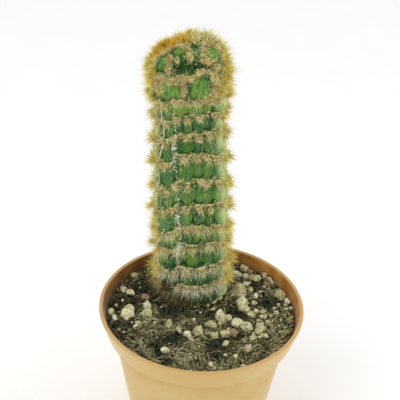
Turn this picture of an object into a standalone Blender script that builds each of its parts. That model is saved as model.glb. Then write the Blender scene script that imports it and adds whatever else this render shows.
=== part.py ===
# Potted monstrose torch cactus: a nursery pot, its soil with grit, and the cactus.
# Sizes are in millimetres and become metres when a mesh is made. +Z is up, +X is to the right.
# The origin is on the ground under the middle of the pot, and the front faces -Y.
import math

import bmesh
import bpy
import numpy as np
from mathutils import Matrix, Vector

MM = 0.001
GAP = 0.3
SEED = 11

# Pot
POT_HEIGHT = 85.0
POT_SEGMENTS = 48
WALL = 1.2
LIP_RADIUS = 52.5
LIP_HEIGHT = 1.6
LIP_OVERHANG = 0.6
MOUTH_RADIUS = 50.5
COLLAR_HEIGHT = 12.5
COLLAR_FOOT_RADIUS = 48.8
BODY_TOP_RADIUS = 45.0
BASE_RADIUS = 32.5
BASE_CHAMFER = 0.5
FOOT_RING_INNER = 22.0
RECESS_HEIGHT = 2.6
RECESS_SLOPE = 1.5
DRAIN_RADIUS = 3.0
DRAIN_CIRCLE = 12.5
DRAIN_COUNT = 6

# Stem, with heights above the rim's plane
RIM_Z = POT_HEIGHT
STEM_X = -5.2
STEM_Y = 20.0
LEAN = 0.047
SOIL_AT_STEM = -5.0
BURIED_DEPTH = 26.0
BURIED_TOP_RADIUS = 16.4
BURIED_END_RADIUS = 12.5
ROW_HEIGHTS = (-3.7, 9.8, 21.6, 36.1, 47.1, 60.1, 73.9, 88.2, 100.3, 110.6, 120.0)
ROW_RISE = 2.4
PANEL_DROP = 2.8
PANEL_LEFT = -62.0
PANEL_RIGHT = -26.0
CELLS = 18
COLUMNS = CELLS * 3
# Radius of the stem in its grooves, by height.
GROOVE_PROFILE = (
    (-5, 16.8), (15, 17.5), (45, 17.8), (75, 17.2), (95, 16.2), (103, 16.0), (112, 17.3), (120, 18.0),
)
BAND_SWELL = 0.6
AREOLE_SWELL = 1.4
# Share of the way from a band to the next, with the relief of a cell's groove and of its belly there.
CELL_PROFILE = ((0.13, -0.4, 0.1), (0.34, -0.1, 1.9), (0.74, 0.1, 1.3))
CELL_SWELL = max(belly for _, _, belly in CELL_PROFILE)

# Head
HEAD_RADIUS = 18.0
HEAD_RISE = 16.0
HEAD_MIDDLE = 124.5
HEAD_STEP = 9.0
# Azimuth from the front towards +X, elevation above the head's middle, radius and height of the tubercles.
HEAD_TUBERCLES = (
    (-27, -3, 5.6, 1.8), (13, 5, 6.2, 2.0), (52, -4, 4.8, 1.4), (84, 2, 5.2, 1.6), (-62, 32, 4.6, 1.8),
    (-40, 58, 3.2, 1.8), (64, 48, 4.8, 2.2), (-64, -2, 4.6, 1.6), (-102, 8, 5.2, 1.8), (118, 12, 5.2, 1.8),
    (152, 4, 5.4, 1.8), (-140, 2, 5.4, 2.0), (-172, 16, 5.0, 1.8), (104, 46, 4.8, 2.0), (140, 40, 4.6, 2.0),
    (-150, 38, 4.6, 2.0), (-112, 40, 4.8, 1.8), (178, 52, 4.4, 1.8), (20, 70, 3.4, 1.4),
)
# Azimuth, elevation, radius and depth of the hollows between them, which make one trough across the front.
HEAD_PITS = ((-22, 36, 5.6, 2.6), (3, 39, 5.6, 2.8), (27, 38, 5.0, 2.4), (52, 30, 3.0, 1.6))
# Azimuth and elevation of the woolly areoles of the head.
HEAD_AREOLES = (
    (-7, 63), (-42, 74), (31, 57), (40, 40), (17, 32), (-20, 17), (-1, 23), (-44, 4), (-39, 34), (-62, 60),
    (-3, 3), (35, 18), (36, 2), (67, 16), (79, -4), (86, 30), (-84, 20), (-78, 48), (108, 30), (136, 22),
    (168, 30), (-124, 26), (-158, 20), (-130, 56), (120, 62), (90, 66), (160, 70), (-178, 74), (-92, 80),
)

# Spines
SPINE_RADIUS = 0.42
SPINE_ROOT = 1.8
SPINE_LENGTH = 6.2
LASH_LENGTH = 6.0
LASH_ROWS = 3
HEAD_SPINE_LENGTH = 4.9
CROWN_SPINES = 46
CROWN_AZIMUTH = (-185.0, 20.0)
CROWN_ELEVATION = (46.0, 88.0)
LOWEST_TIP = -0.2

# Soil
SOIL_EDGE = -6.5
SOIL_RINGS = 10
SOIL_RELIEF = 1.2
SOIL_BLEND = 2.5
# Place across and along from the pot's middle, and length, of the largest grit in view.
LARGE_GRIT = (
    (22, 4, 8.5), (22, 16, 7), (19, -6, 6.5), (14, -3, 6), (25, -6, 6), (31, -4, 7), (10, -1, 5),
    (24, 27, 6), (30, 24, 5), (39, 17, 7), (-39, 0, 8), (-37, 12, 5.5), (-29, 1, 6), (-48, -2, 5),
    (-34, -6, 4.5), (-31, 8, 5), (24, -19, 6), (10, -16, 4), (-20, -25, 5), (6, -6, 4.5), (15, -12, 4.5),
    (33, 8, 4),
)
SMALL_GRIT = 20
SMALL_GRIT_SIZE = (2.6, 4.2)
GRIT_ABOVE = 0.12
GRIT_CLEARANCE = 1.2


def clear_scene():
    for item in list(bpy.data.objects):
        bpy.data.objects.remove(item, do_unlink=True)


def plain_material(name, colour, roughness):
    made = bpy.data.materials.new(name)
    made.use_nodes = True
    shader = made.node_tree.nodes["Principled BSDF"]
    shader.inputs["Base Color"].default_value = (*colour, 1.0)
    shader.inputs["Roughness"].default_value = roughness
    shader.inputs["Metallic"].default_value = 0.0
    return made


def add_object(name, mesh, collection=None):
    made = bpy.data.objects.new(name, mesh)
    (collection or bpy.context.scene.collection).objects.link(made)
    return made


def mesh_of(name, points, faces):
    mesh = bpy.data.meshes.new(name)
    mesh.from_pydata((np.asarray(points, float) * MM).tolist(), [], faces)
    mesh.update()
    return mesh


def lofted_mesh(name, rings, start, end):
    """Skins closed rings in order, split into triangles, and closes both ends with a fan to a point."""
    count, sides = len(rings), len(rings[0])
    points = [tuple(start), *np.concatenate(rings).tolist(), tuple(end)]
    faces = []
    for i in range(count - 1):
        for j in range(sides):
            a = 1 + i * sides + j
            b = 1 + i * sides + (j + 1) % sides
            c, d = b + sides, a + sides
            faces += [(a, b, c), (a, c, d)]
    last = 1 + (count - 1) * sides
    for j in range(sides):
        nxt = (j + 1) % sides
        faces.append((0, 1 + nxt, 1 + j))
        faces.append((last + sides, last + j, last + nxt))
    return mesh_of(name, points, faces)


def circle(radius, z, sides, centre=(0.0, 0.0)):
    """A level ring of points, counter-clockwise from the front."""
    azimuth = np.arange(sides) * 2 * math.pi / sides
    x = centre[0] + radius * np.sin(azimuth)
    y = centre[1] - radius * np.cos(azimuth)
    return np.column_stack([x, y, np.full(sides, float(z))])


def body_radius_at(z):
    """Outer radius of the pot's tapered body at a height above the ground."""
    return BASE_RADIUS + (BODY_TOP_RADIUS - BASE_RADIUS) * z / (POT_HEIGHT - COLLAR_HEIGHT)


def bool_apply(target, operation, solver, repeats):
    """Applies one Boolean of a collection to the target's mesh, and removes what was used to cut or join."""
    modifier = target.modifiers.new("repeats", "BOOLEAN")
    modifier.operation = operation
    modifier.solver = solver
    modifier.operand_type = "COLLECTION"
    modifier.collection = repeats
    graph = bpy.context.evaluated_depsgraph_get()
    result = bpy.data.meshes.new_from_object(target.evaluated_get(graph), depsgraph=graph)
    target.modifiers.clear()
    target.data = result
    for item in list(repeats.objects):
        bpy.data.objects.remove(item, do_unlink=True)
    bpy.data.collections.remove(repeats)


def new_repeats(name):
    """A collection that holds the copies of a repeated shape until they are joined or cut."""
    made = bpy.data.collections.new(name)
    bpy.context.scene.collection.children.link(made)
    return made


def drop_scraps(target):
    """Keeps the largest connected body of a joined mesh, and drops any loose scrap."""
    made = bmesh.new()
    made.from_mesh(target.data)
    bodies = []
    left = set(made.verts)
    while left:
        body, edge = set(), [left.pop()]
        while edge:
            corner = edge.pop()
            body.add(corner)
            near = {link.other_vert(corner) for link in corner.link_edges} & left
            left -= near
            edge += near
        bodies.append(body)
    bodies.sort(key=len)
    for body in bodies[:-1]:
        bmesh.ops.delete(made, geom=list(body), context="VERTS")
    made.to_mesh(target.data)
    made.free()


def make_pot():
    ledge = POT_HEIGHT - COLLAR_HEIGHT
    floor_top = RECESS_HEIGHT + WALL
    lip_z = POT_HEIGHT - LIP_HEIGHT
    outer = [
        (FOOT_RING_INNER - RECESS_SLOPE, RECESS_HEIGHT),
        (FOOT_RING_INNER, 0.0),
        (BASE_RADIUS - BASE_CHAMFER, 0.0),
        (BASE_RADIUS, BASE_CHAMFER),
        (BODY_TOP_RADIUS, ledge),
        (COLLAR_FOOT_RADIUS, ledge),
        (LIP_RADIUS - LIP_OVERHANG, lip_z),
        (LIP_RADIUS, lip_z + LIP_OVERHANG),
        (LIP_RADIUS, POT_HEIGHT - LIP_OVERHANG),
        (LIP_RADIUS - LIP_OVERHANG, POT_HEIGHT),
    ]
    inner = [
        (MOUTH_RADIUS + LIP_OVERHANG, POT_HEIGHT),
        (MOUTH_RADIUS, POT_HEIGHT - LIP_OVERHANG),
        (COLLAR_FOOT_RADIUS - WALL, ledge + WALL),
        (body_radius_at(ledge + WALL) - WALL, ledge + WALL),
        (body_radius_at(WALL) - WALL, WALL),
        (FOOT_RING_INNER + WALL, WALL),
        (FOOT_RING_INNER - RECESS_SLOPE + WALL / 2, floor_top),
    ]
    rings = [circle(r, z, POT_SEGMENTS) for r, z in outer + inner]
    mesh = lofted_mesh("pot", rings, (0, 0, RECESS_HEIGHT), (0, 0, floor_top))
    pot = add_object("pot", mesh)
    drains = new_repeats("drains")
    places = [(0.0, 0.0)]
    for i in range(DRAIN_COUNT):
        angle = 2 * math.pi * i / DRAIN_COUNT
        places.append((DRAIN_CIRCLE * math.cos(angle), DRAIN_CIRCLE * math.sin(angle)))
    for x, y in places:
        bottom = circle(DRAIN_RADIUS, RECESS_HEIGHT - WALL, 12, (x, y))
        top = circle(DRAIN_RADIUS, floor_top + WALL, 12, (x, y))
        cutter = lofted_mesh("drain", [bottom, top], (x, y, RECESS_HEIGHT - WALL), (x, y, floor_top + WALL))
        add_object("drain", cutter, drains)
    bool_apply(pot, "DIFFERENCE", "EXACT", drains)
    pot.data.shade_smooth()
    pot.data.set_sharp_from_angle(angle=math.radians(30))
    pot.data.materials.append(plain_material("terracotta plastic", (0.63, 0.41, 0.18), 0.55))
    return pot


def stem_centre(z):
    """The stem's middle at a height above the rim's plane, on its leaning axis."""
    return STEM_X - LEAN * (z - SOIL_AT_STEM), STEM_Y


def smooth_step(low, high, value):
    t = np.clip((value - low) / (high - low), 0.0, 1.0)
    return t * t * (3 - 2 * t)


def row_height(row, azimuth):
    """Height of a band of areoles. Bands climb to the right, and drop in the panel between the two seams."""
    last = len(ROW_HEIGHTS) - 1
    freedom = min(1.0, row, (last - row) / 2.0)
    panel = smooth_step(PANEL_LEFT - 3, PANEL_LEFT + 3, azimuth) * (
        1 - smooth_step(PANEL_RIGHT - 3, PANEL_RIGHT + 3, azimuth)
    )
    rise = ROW_RISE * np.sin(np.radians(azimuth))
    return ROW_HEIGHTS[row] + freedom * (rise - PANEL_DROP * panel)


def groove_radius(z):
    return np.interp(z, [p[0] for p in GROOVE_PROFILE], [p[1] for p in GROOVE_PROFILE])


def on_stem(azimuth, z, radius):
    """Points on the leaning stem, from azimuth in degrees, height above the rim's plane and radius."""
    x, y = stem_centre(z)
    angle = np.radians(azimuth)
    places = (x + radius * np.sin(angle), y - radius * np.cos(angle), z + RIM_Z)
    return np.column_stack(np.broadcast_arrays(*places))


def stem_ring(row, share, first_row, groove_relief, belly_relief):
    """One ring of the stem, a share of the way from a band of areoles to the next. A cell is three columns
    wide, a groove and two of its belly, and each row starts a column further round."""
    column = np.arange(COLUMNS)
    azimuth = (column * 360.0 / COLUMNS + 180.0) % 360.0 - 180.0
    z = row_height(row, azimuth) * (1 - share) + row_height(row + 1, azimuth) * share
    relief = np.where((column - first_row) % 3 == 0, groove_relief, belly_relief)
    return on_stem(azimuth, z, groove_radius(z) + relief)


def head_normal(azimuth, elevation):
    a, e = np.radians(azimuth), np.radians(np.maximum(elevation, 0.0))
    normal = np.stack(
        np.broadcast_arrays(
            np.sin(a) * np.cos(e) / HEAD_RADIUS, -np.cos(a) * np.cos(e) / HEAD_RADIUS, np.sin(e) / HEAD_RISE
        ),
        axis=-1,
    )
    return normal / np.linalg.norm(normal, axis=-1, keepdims=True)


def head_distance(azimuth, elevation, to_azimuth, to_elevation):
    """Distance over the head between two places, taking it as a ball."""
    e, f = np.radians(elevation), np.radians(to_elevation)
    turn = np.radians(azimuth - to_azimuth)
    cosine = np.sin(e) * np.sin(f) + np.cos(e) * np.cos(f) * np.cos(turn)
    return HEAD_RADIUS * np.arccos(np.clip(cosine, -1.0, 1.0))


def head_relief(azimuth, elevation):
    """Round tubercles stand out of the head and hollows go in, each a dome of its own radius and height."""
    relief = np.zeros(np.broadcast(azimuth, elevation).shape)
    for to_azimuth, to_elevation, radius, height in HEAD_TUBERCLES:
        away = head_distance(azimuth, elevation, to_azimuth, to_elevation) / radius
        relief = np.maximum(relief, height * np.clip(1 - away**2, 0, None))
    sunk = np.zeros_like(relief)
    for to_azimuth, to_elevation, radius, depth in HEAD_PITS:
        away = head_distance(azimuth, elevation, to_azimuth, to_elevation) / radius
        sunk = np.maximum(sunk, depth * np.clip(1 - away**2, 0, None))
    return relief - sunk


def on_head(azimuth, elevation, lift=0.0):
    """Points on the swollen head, a dome with its relief, lifted along its normal. Below its middle, where
    the elevation is negative, it is a round wall."""
    a, e = np.radians(azimuth), np.radians(elevation)
    x, y = stem_centre(HEAD_MIDDLE)
    reach = HEAD_RADIUS * np.cos(np.maximum(e, 0.0))
    z = RIM_Z + HEAD_MIDDLE + HEAD_RISE * np.sin(e)
    base = np.stack(np.broadcast_arrays(x + reach * np.sin(a), y - reach * np.cos(a), z), axis=-1)
    height = head_relief(azimuth, elevation) + lift
    return base + head_normal(azimuth, elevation) * height[..., None]


def stem_mesh():
    end_z = SOIL_AT_STEM - BURIED_DEPTH
    top_z = SOIL_AT_STEM + 0.4
    rings = [
        circle(BURIED_END_RADIUS, end_z + RIM_Z, COLUMNS, stem_centre(end_z)),
        circle(BURIED_TOP_RADIUS, top_z + RIM_Z, COLUMNS, stem_centre(top_z)),
    ]
    for row in range(len(ROW_HEIGHTS) - 1):
        rings.append(stem_ring(row, 0.0, row - 1, BAND_SWELL, AREOLE_SWELL))
        rings += [stem_ring(row, share, row, groove, belly) for share, groove, belly in CELL_PROFILE]
    azimuth = np.arange(COLUMNS) * 360.0 / COLUMNS
    head_foot = math.degrees(math.asin((ROW_HEIGHTS[-1] - HEAD_MIDDLE) / HEAD_RISE))
    for elevation in np.arange(head_foot, 85.0, HEAD_STEP):
        rings.append(on_head(azimuth, np.full(COLUMNS, elevation)))
    foot = (*stem_centre(end_z), end_z + RIM_Z)
    pole = on_head(np.array([0.0]), np.array([90.0]))[0]
    return lofted_mesh("cactus", rings, foot, pole)


def spine_mesh(root, direction, length):
    """A three-sided needle with a sharp tip, sunk into what it grows from."""
    turn = Vector(direction).to_track_quat("Z", "Y").to_matrix()
    low = [turn @ Vector((SPINE_RADIUS * math.cos(a), SPINE_RADIUS * math.sin(a), -SPINE_ROOT))
           for a in (0.0, 2 * math.pi / 3, 4 * math.pi / 3)]
    tip = turn @ Vector((0.0, 0.0, length))
    points = [np.array(p) + np.array(root) for p in (*low, tip)]
    return mesh_of("spine", points, [(2, 1, 0), (0, 1, 3), (1, 2, 3), (2, 0, 3)])


def unit(vector):
    return vector / np.linalg.norm(vector)


def stem_spines(rng):
    """Roots, directions and lengths of the stem's spines, three or two to an areole at the top of a cell."""
    spines = []
    up = np.array([0.0, 0.0, 1.0])
    for row in range(len(ROW_HEIGHTS) - 1):
        for cell in range(CELLS):
            azimuth = ((cell * 3 + row % 3 + 1.5) * 360.0 / COLUMNS + 180.0) % 360.0 - 180.0
            z = float(row_height(row + 1, azimuth)) - 1.0
            root = on_stem(azimuth, z, float(groove_radius(z)) + 0.6)[0]
            a = math.radians(azimuth)
            outward = np.array([math.sin(a), -math.cos(a), 0.0])
            across = np.array([math.cos(a), math.sin(a), 0.0])
            leanings = [(0.0, 0.45), (-0.75, -0.15), (0.75, -0.15)]
            if (row + cell) % 2:
                leanings = [(-0.55, 0.3), (0.55, -0.35)]
            for side, lift in leanings:
                length = SPINE_LENGTH * rng.uniform(0.8, 1.12)
                if 0 < row < LASH_ROWS:
                    lift -= 0.6
                    length = LASH_LENGTH * rng.uniform(0.85, 1.1)
                side += rng.uniform(-0.2, 0.2)
                lift += rng.uniform(-0.15, 0.15)
                way = outward + across * side + up * lift
                spines.append((root, unit(way), length))
    return spines


def head_spines(rng):
    """Three spines to each areole of the head, and the dense mat of the crown."""
    spines = []
    for azimuth, elevation in HEAD_AREOLES:
        for turn in (0.0, 2.1, 4.2):
            spines.append(head_spine(azimuth, elevation, turn + rng.uniform(-0.5, 0.5), 0.75, rng))
    for _ in range(CROWN_SPINES):
        azimuth = rng.uniform(*CROWN_AZIMUTH)
        elevation = rng.uniform(*CROWN_ELEVATION)
        spines.append(head_spine(azimuth, elevation, rng.uniform(0, 6.28), 0.4, rng))
    return spines


def head_spine(azimuth, elevation, turn, spread, rng):
    """A spine on the head that leans from the normal by a spread, turned round it."""
    root = on_head(np.array([azimuth]), np.array([elevation]), -0.4)[0]
    normal = head_normal(azimuth, elevation)
    east = np.array([math.cos(math.radians(azimuth)), math.sin(math.radians(azimuth)), 0.0])
    north = np.cross(normal, east)
    way = normal + spread * (math.cos(turn) * east + math.sin(turn) * north)
    return root, unit(way), HEAD_SPINE_LENGTH * rng.uniform(0.8, 1.15)


def make_cactus():
    cactus = add_object("cactus", stem_mesh())
    rng = np.random.default_rng(SEED)
    spines = new_repeats("spines")
    for root, way, length in stem_spines(rng) + head_spines(rng):
        low = RIM_Z + LOWEST_TIP
        if root[2] + way[2] * length < low:
            way = unit(np.array([way[0], way[1], (low - root[2]) / length]))
        add_object("spine", spine_mesh(root, way, length), spines)
    bool_apply(cactus, "UNION", "MANIFOLD", spines)
    drop_scraps(cactus)
    cactus.data.materials.clear()
    cactus.data.materials.append(plain_material("cactus green", (0.10, 0.24, 0.06), 0.6))
    return cactus


def soil_ripple(x, y):
    """Low uneven relief of the peat, a sum of waves, between -1 and 1."""
    waves = np.sin(0.41 * x + 0.9) * np.cos(0.37 * y + 0.3) + 0.7 * np.sin(0.71 * x - 0.53 * y + 2.1)
    return (waves + 0.5 * np.cos(0.93 * x + 0.88 * y - 0.7)) / 2.2


def soil_height(x, y):
    """The soil is level at the stem, falls a little to the pot's wall, and ripples in between."""
    centre_x, centre_y = stem_centre(SOIL_AT_STEM)
    from_stem = np.hypot(x - centre_x, y - centre_y) - BURIED_TOP_RADIUS
    from_wall = MOUTH_RADIUS - np.hypot(x, y)
    share = from_stem / (from_stem + from_wall)
    calm = smooth_step(SOIL_BLEND, SOIL_BLEND + 4, from_stem) * smooth_step(0.5, 3, from_wall)
    return SOIL_AT_STEM + (SOIL_EDGE - SOIL_AT_STEM) * share + SOIL_RELIEF * calm * soil_ripple(x, y)


def soil_mesh():
    """The root ball: up the inside of the pot, in over the top, and down a plain hole for the stem."""
    ledge = POT_HEIGHT - COLLAR_HEIGHT + WALL + GAP
    edge_z = RIM_Z + SOIL_EDGE
    collar_slope = (MOUTH_RADIUS - COLLAR_FOOT_RADIUS + WALL) / (COLLAR_HEIGHT - WALL)
    wall_radius = COLLAR_FOOT_RADIUS - WALL - GAP * 1.2
    recess = FOOT_RING_INNER - RECESS_SLOPE + WALL / 2
    profile = [
        (recess - GAP, RECESS_HEIGHT + WALL + GAP),
        (FOOT_RING_INNER + WALL + GAP, WALL + GAP),
        (body_radius_at(WALL) - WALL - GAP * 1.2, WALL + GAP),
        (body_radius_at(ledge) - WALL - GAP * 1.2, ledge),
        (wall_radius, ledge),
        (wall_radius + collar_slope * (edge_z - ledge), edge_z),
    ]
    rings = [circle(r, z, POT_SEGMENTS) for r, z in profile]
    outer = rings[-1]
    hole = circle(BURIED_TOP_RADIUS + GAP, SOIL_AT_STEM + RIM_Z, POT_SEGMENTS, stem_centre(SOIL_AT_STEM))
    for i in range(1, SOIL_RINGS):
        share = i / SOIL_RINGS
        ring = outer * (1 - share) + hole * share
        ring[:, 2] = RIM_Z + soil_height(ring[:, 0], ring[:, 1])
        rings.append(ring)
    rings.append(hole)
    end_z = SOIL_AT_STEM - BURIED_DEPTH - GAP
    rings.append(circle(BURIED_END_RADIUS + GAP, end_z + RIM_Z, POT_SEGMENTS, stem_centre(end_z)))
    start = (0, 0, RECESS_HEIGHT + WALL + GAP)
    return lofted_mesh("soil", rings, start, (*stem_centre(end_z), end_z + RIM_Z))


def grit_mesh(rng, x, y, length):
    """A chip of pumice: a faceted ball, longer one way, with uneven corners, sunk into the soil."""
    made = bmesh.new()
    bmesh.ops.create_icosphere(made, subdivisions=1, radius=0.5)
    for corner in made.verts:
        corner.co *= rng.uniform(0.86, 1.1)
    flat = Matrix.Diagonal((length, length * rng.uniform(0.65, 0.85), length * rng.uniform(0.55, 0.75), 1))
    turn = Matrix.Rotation(rng.uniform(0, 2 * math.pi), 4, "Z")
    tilt = Matrix.Rotation(rng.uniform(-0.4, 0.4), 4, "X")
    lift = RIM_Z + float(soil_height(x, y)) + GRIT_ABOVE * length
    made.transform(Matrix.Scale(MM, 4) @ Matrix.Translation((x, y, lift)) @ turn @ tilt @ flat)
    mesh = bpy.data.meshes.new("grit")
    made.to_mesh(mesh)
    made.free()
    return mesh


def room_for_grit(x, y, length, taken):
    """Whether a chip lies clear of the wall, of the stem and of the chips that are there."""
    centre_x, centre_y = stem_centre(SOIL_AT_STEM)
    half = length * 0.55
    wall = MOUTH_RADIUS - 1.5 - math.hypot(x, y)
    stem = math.hypot(x - centre_x, y - centre_y) - BURIED_TOP_RADIUS - CELL_SWELL - 0.6
    apart = min((math.hypot(x - u, y - v) - (length + w) * 0.5 for u, v, w in taken), default=length)
    return wall > half + GRIT_CLEARANCE and stem > half + GRIT_CLEARANCE and apart > 0.3


def grit_places(rng):
    taken = []
    for x, y, length in LARGE_GRIT:
        if room_for_grit(x, y, length, taken):
            taken.append((x, y, length))
    count = len(taken) + SMALL_GRIT
    while len(taken) < count:
        x, y = rng.uniform(-MOUTH_RADIUS, MOUTH_RADIUS, 2)
        length = rng.uniform(*SMALL_GRIT_SIZE)
        if room_for_grit(x, y, length, taken):
            taken.append((x, y, length))
    return taken


def make_soil():
    soil = add_object("soil", soil_mesh())
    rng = np.random.default_rng(SEED + 1)
    grit = new_repeats("grit")
    for x, y, length in grit_places(rng):
        add_object("grit", grit_mesh(rng, x, y, length), grit)
    bool_apply(soil, "UNION", "MANIFOLD", grit)
    drop_scraps(soil)
    soil.data.materials.clear()
    soil.data.materials.append(plain_material("peat", (0.06, 0.055, 0.035), 0.95))
    return soil


clear_scene()
make_pot()
make_soil()
make_cactus()
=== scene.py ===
# Potted monstrose torch cactus: the finish of the pot, the soil and the plant.
# Lengths are in millimetres and become metres when a mesh is made. Azimuths are in degrees from the
# front (-Y) towards the right (+X). Heights of the plant and the soil are above the pot's rim.
import math

import bmesh
import bpy
import numpy as np
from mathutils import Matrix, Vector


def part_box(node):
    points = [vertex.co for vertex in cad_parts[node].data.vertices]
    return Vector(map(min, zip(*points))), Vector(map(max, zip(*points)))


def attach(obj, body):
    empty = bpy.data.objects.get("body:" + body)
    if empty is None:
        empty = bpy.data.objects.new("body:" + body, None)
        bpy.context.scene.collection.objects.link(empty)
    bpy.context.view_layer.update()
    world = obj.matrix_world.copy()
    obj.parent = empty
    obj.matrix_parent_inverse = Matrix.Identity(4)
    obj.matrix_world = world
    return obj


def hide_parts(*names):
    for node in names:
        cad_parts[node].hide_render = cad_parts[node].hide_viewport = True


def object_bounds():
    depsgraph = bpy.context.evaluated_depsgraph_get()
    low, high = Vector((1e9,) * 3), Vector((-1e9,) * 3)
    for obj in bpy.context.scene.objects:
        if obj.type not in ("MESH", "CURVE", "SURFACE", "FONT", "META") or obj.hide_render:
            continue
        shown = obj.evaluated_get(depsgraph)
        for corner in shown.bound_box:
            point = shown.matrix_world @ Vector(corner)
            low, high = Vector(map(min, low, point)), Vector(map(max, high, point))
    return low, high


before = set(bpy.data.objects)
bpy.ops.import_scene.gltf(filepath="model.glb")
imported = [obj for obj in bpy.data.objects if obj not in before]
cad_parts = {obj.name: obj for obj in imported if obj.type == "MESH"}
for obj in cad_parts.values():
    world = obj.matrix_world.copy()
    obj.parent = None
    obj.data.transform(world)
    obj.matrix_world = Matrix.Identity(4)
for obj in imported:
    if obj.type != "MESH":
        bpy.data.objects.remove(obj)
cadLow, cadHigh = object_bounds()
mm = 0.001
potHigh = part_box("pot")[1]
rimHeight = potHigh.z / mm
lipRadius = potHigh.x / mm
topLimit = cadHigh.z / mm


# Meshes

def addPiece(name, points, triangles, material, fields=None, replaced=None, sharpAngle=None):
    # points (n, 3) in millimetres, triangles (m, 3); fields are named numbers, one per point
    mesh = bpy.data.meshes.new(name)
    mesh.vertices.add(len(points))
    mesh.vertices.foreach_set("co", (np.asarray(points) * mm).astype(np.float32).ravel())
    mesh.loops.add(3 * len(triangles))
    mesh.loops.foreach_set("vertex_index", np.asarray(triangles).astype(np.int32).ravel())
    mesh.polygons.add(len(triangles))
    mesh.polygons.foreach_set("loop_start", np.arange(0, 3 * len(triangles), 3, dtype=np.int32))
    mesh.update(calc_edges=True)
    mesh.validate()
    for fieldName, values in (fields or {}).items():
        layer = mesh.attributes.new(fieldName, "FLOAT", "POINT")
        layer.data.foreach_set("value", np.asarray(values, np.float32).ravel())
    mesh.shade_smooth()
    if sharpAngle is not None:
        mesh.set_sharp_from_angle(angle=math.radians(sharpAngle))
    mesh.materials.append(material)
    piece = bpy.data.objects.new(name, mesh)
    bpy.context.scene.collection.objects.link(piece)
    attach(piece, "root")
    if replaced:
        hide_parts(replaced)
    print(f"{name}: {len(triangles)} triangles")
    return piece


def wallsOf(rings, sides):
    # two triangles for each field between rings of points, each ring closed on itself
    i, j = np.meshgrid(np.arange(rings - 1), np.arange(sides), indexing="ij")
    a, b = i * sides + j, i * sides + (j + 1) % sides
    halves = (a, b, b + sides), (a, b + sides, a + sides)
    return np.concatenate([np.stack(half, -1).reshape(-1, 3) for half in halves])


def repeated(triangles, count, step):
    # the triangles of one copy, numbered on for every further copy of that many points
    return (triangles[None] + (np.arange(count) * step)[:, None, None]).reshape(-1, 3)


def skinRings(rings, start, end):
    # rings (n, m, 3), each closed on itself; both ends close in a fan to one point
    count, sides = rings.shape[:2]
    j = np.arange(sides)
    last = 1 + (count - 1) * sides
    first = np.stack([0 * j, 1 + (j + 1) % sides, 1 + j], -1)
    final = np.stack([0 * j + last + sides, last + j, last + (j + 1) % sides], -1)
    points = np.concatenate([np.reshape(start, (1, 3)), rings.reshape(-1, 3), np.reshape(end, (1, 3))])
    return points, np.concatenate([first, 1 + wallsOf(count, sides), final])


def ringField(values, start, end):
    # a field on rings (n, m), with its value at the two end points
    return np.concatenate([[start], np.asarray(values, float).ravel(), [end]])


def outwardAt(angle):
    # level directions at angles in radians from the front towards the right
    return np.stack([np.sin(angle), -np.cos(angle), 0 * angle], -1)


def sidewaysAt(angle):
    return np.stack([np.cos(angle), np.sin(angle), 0 * angle], -1)


def level(radius, height, sides, centre=(0.0, 0.0)):
    # a level circle, counter-clockwise from the front
    return outwardAt(np.arange(sides) * 2 * np.pi / sides) * radius + [*centre, height]


def bell(x, y=0.0):
    # 1 at 0 and fading to all sides: exp(-x^2 - y^2)
    return np.exp(-x**2 - y**2)


def alongLine(line, value):
    # a line is a list of pairs: its second number at values of its first, straight between the pairs
    return np.interp(value, [pair[0] for pair in line], [pair[1] for pair in line])


def unit(vectors):
    return vectors / np.maximum(np.linalg.norm(vectors, axis=-1, keepdims=True), 1e-9)


def threeSided(middle, side, other, width):
    # three points round each point of the lines (n, m, 3), in the plane of side and other
    turn = np.arange(3)[:, None] * 2 * np.pi / 3
    around = side[..., None, :] * np.cos(turn) + other[..., None, :] * np.sin(turn)
    return middle[:, :, None] + around * width[:, :, None, None]


def hairs(roots, ways, lengths, radii, bends, segments):
    # Each hair's middle line is root + way * length * t + bend * length * t^2 for t from 0 to 1, and its
    # three-sided section shrinks to a point. Returns points, triangles, hair numbers and t of the points.
    count = len(roots)
    t = np.arange(segments) / segments
    helper = np.where(np.abs(ways[:, 2:3]) > 0.8, [[1.0, 0.0, 0.0]], [[0.0, 0.0, 1.0]])
    side = unit(np.cross(ways, helper))
    reach, bend = ways * lengths[:, None], bends * lengths[:, None]
    middle = roots[:, None] + reach[:, None] * t[None, :, None] + bend[:, None] * (t**2)[None, :, None]
    width = radii[:, None] * (1 - t[None]**1.4 * 0.85)
    ring = threeSided(middle, side[:, None], np.cross(ways, side)[:, None], width)
    points = np.concatenate([ring.reshape(count, -1, 3), (roots + reach + bend)[:, None]], axis=1)
    s, end = np.arange(3), 3 * (segments - 1)
    tips = np.stack([end + s, end + (s + 1) % 3, 0 * s + 3 * segments], -1)
    one = np.concatenate([[[2, 1, 0]], wallsOf(segments, 3), tips])
    perHair = 3 * segments + 1
    along = np.tile(np.concatenate([np.repeat(t, 3), [1.0]]), count)
    return points.reshape(-1, 3), repeated(one, count, perHair), np.repeat(np.arange(count), perHair), along


def scatter(template, faces, centres, turns, sizes):
    # copies of one small closed mesh: turned (n, 3, 3), scaled along its own axes (n, 3), and put in place
    count, corners = len(centres), template.shape[-2]
    shapes = np.broadcast_to(template, (count, corners, 3)) * sizes[:, None]
    points = np.einsum("nij,nkj->nki", turns, shapes) + centres[:, None]
    return points.reshape(-1, 3), repeated(faces, count, corners), np.repeat(np.arange(count), corners)


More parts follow.
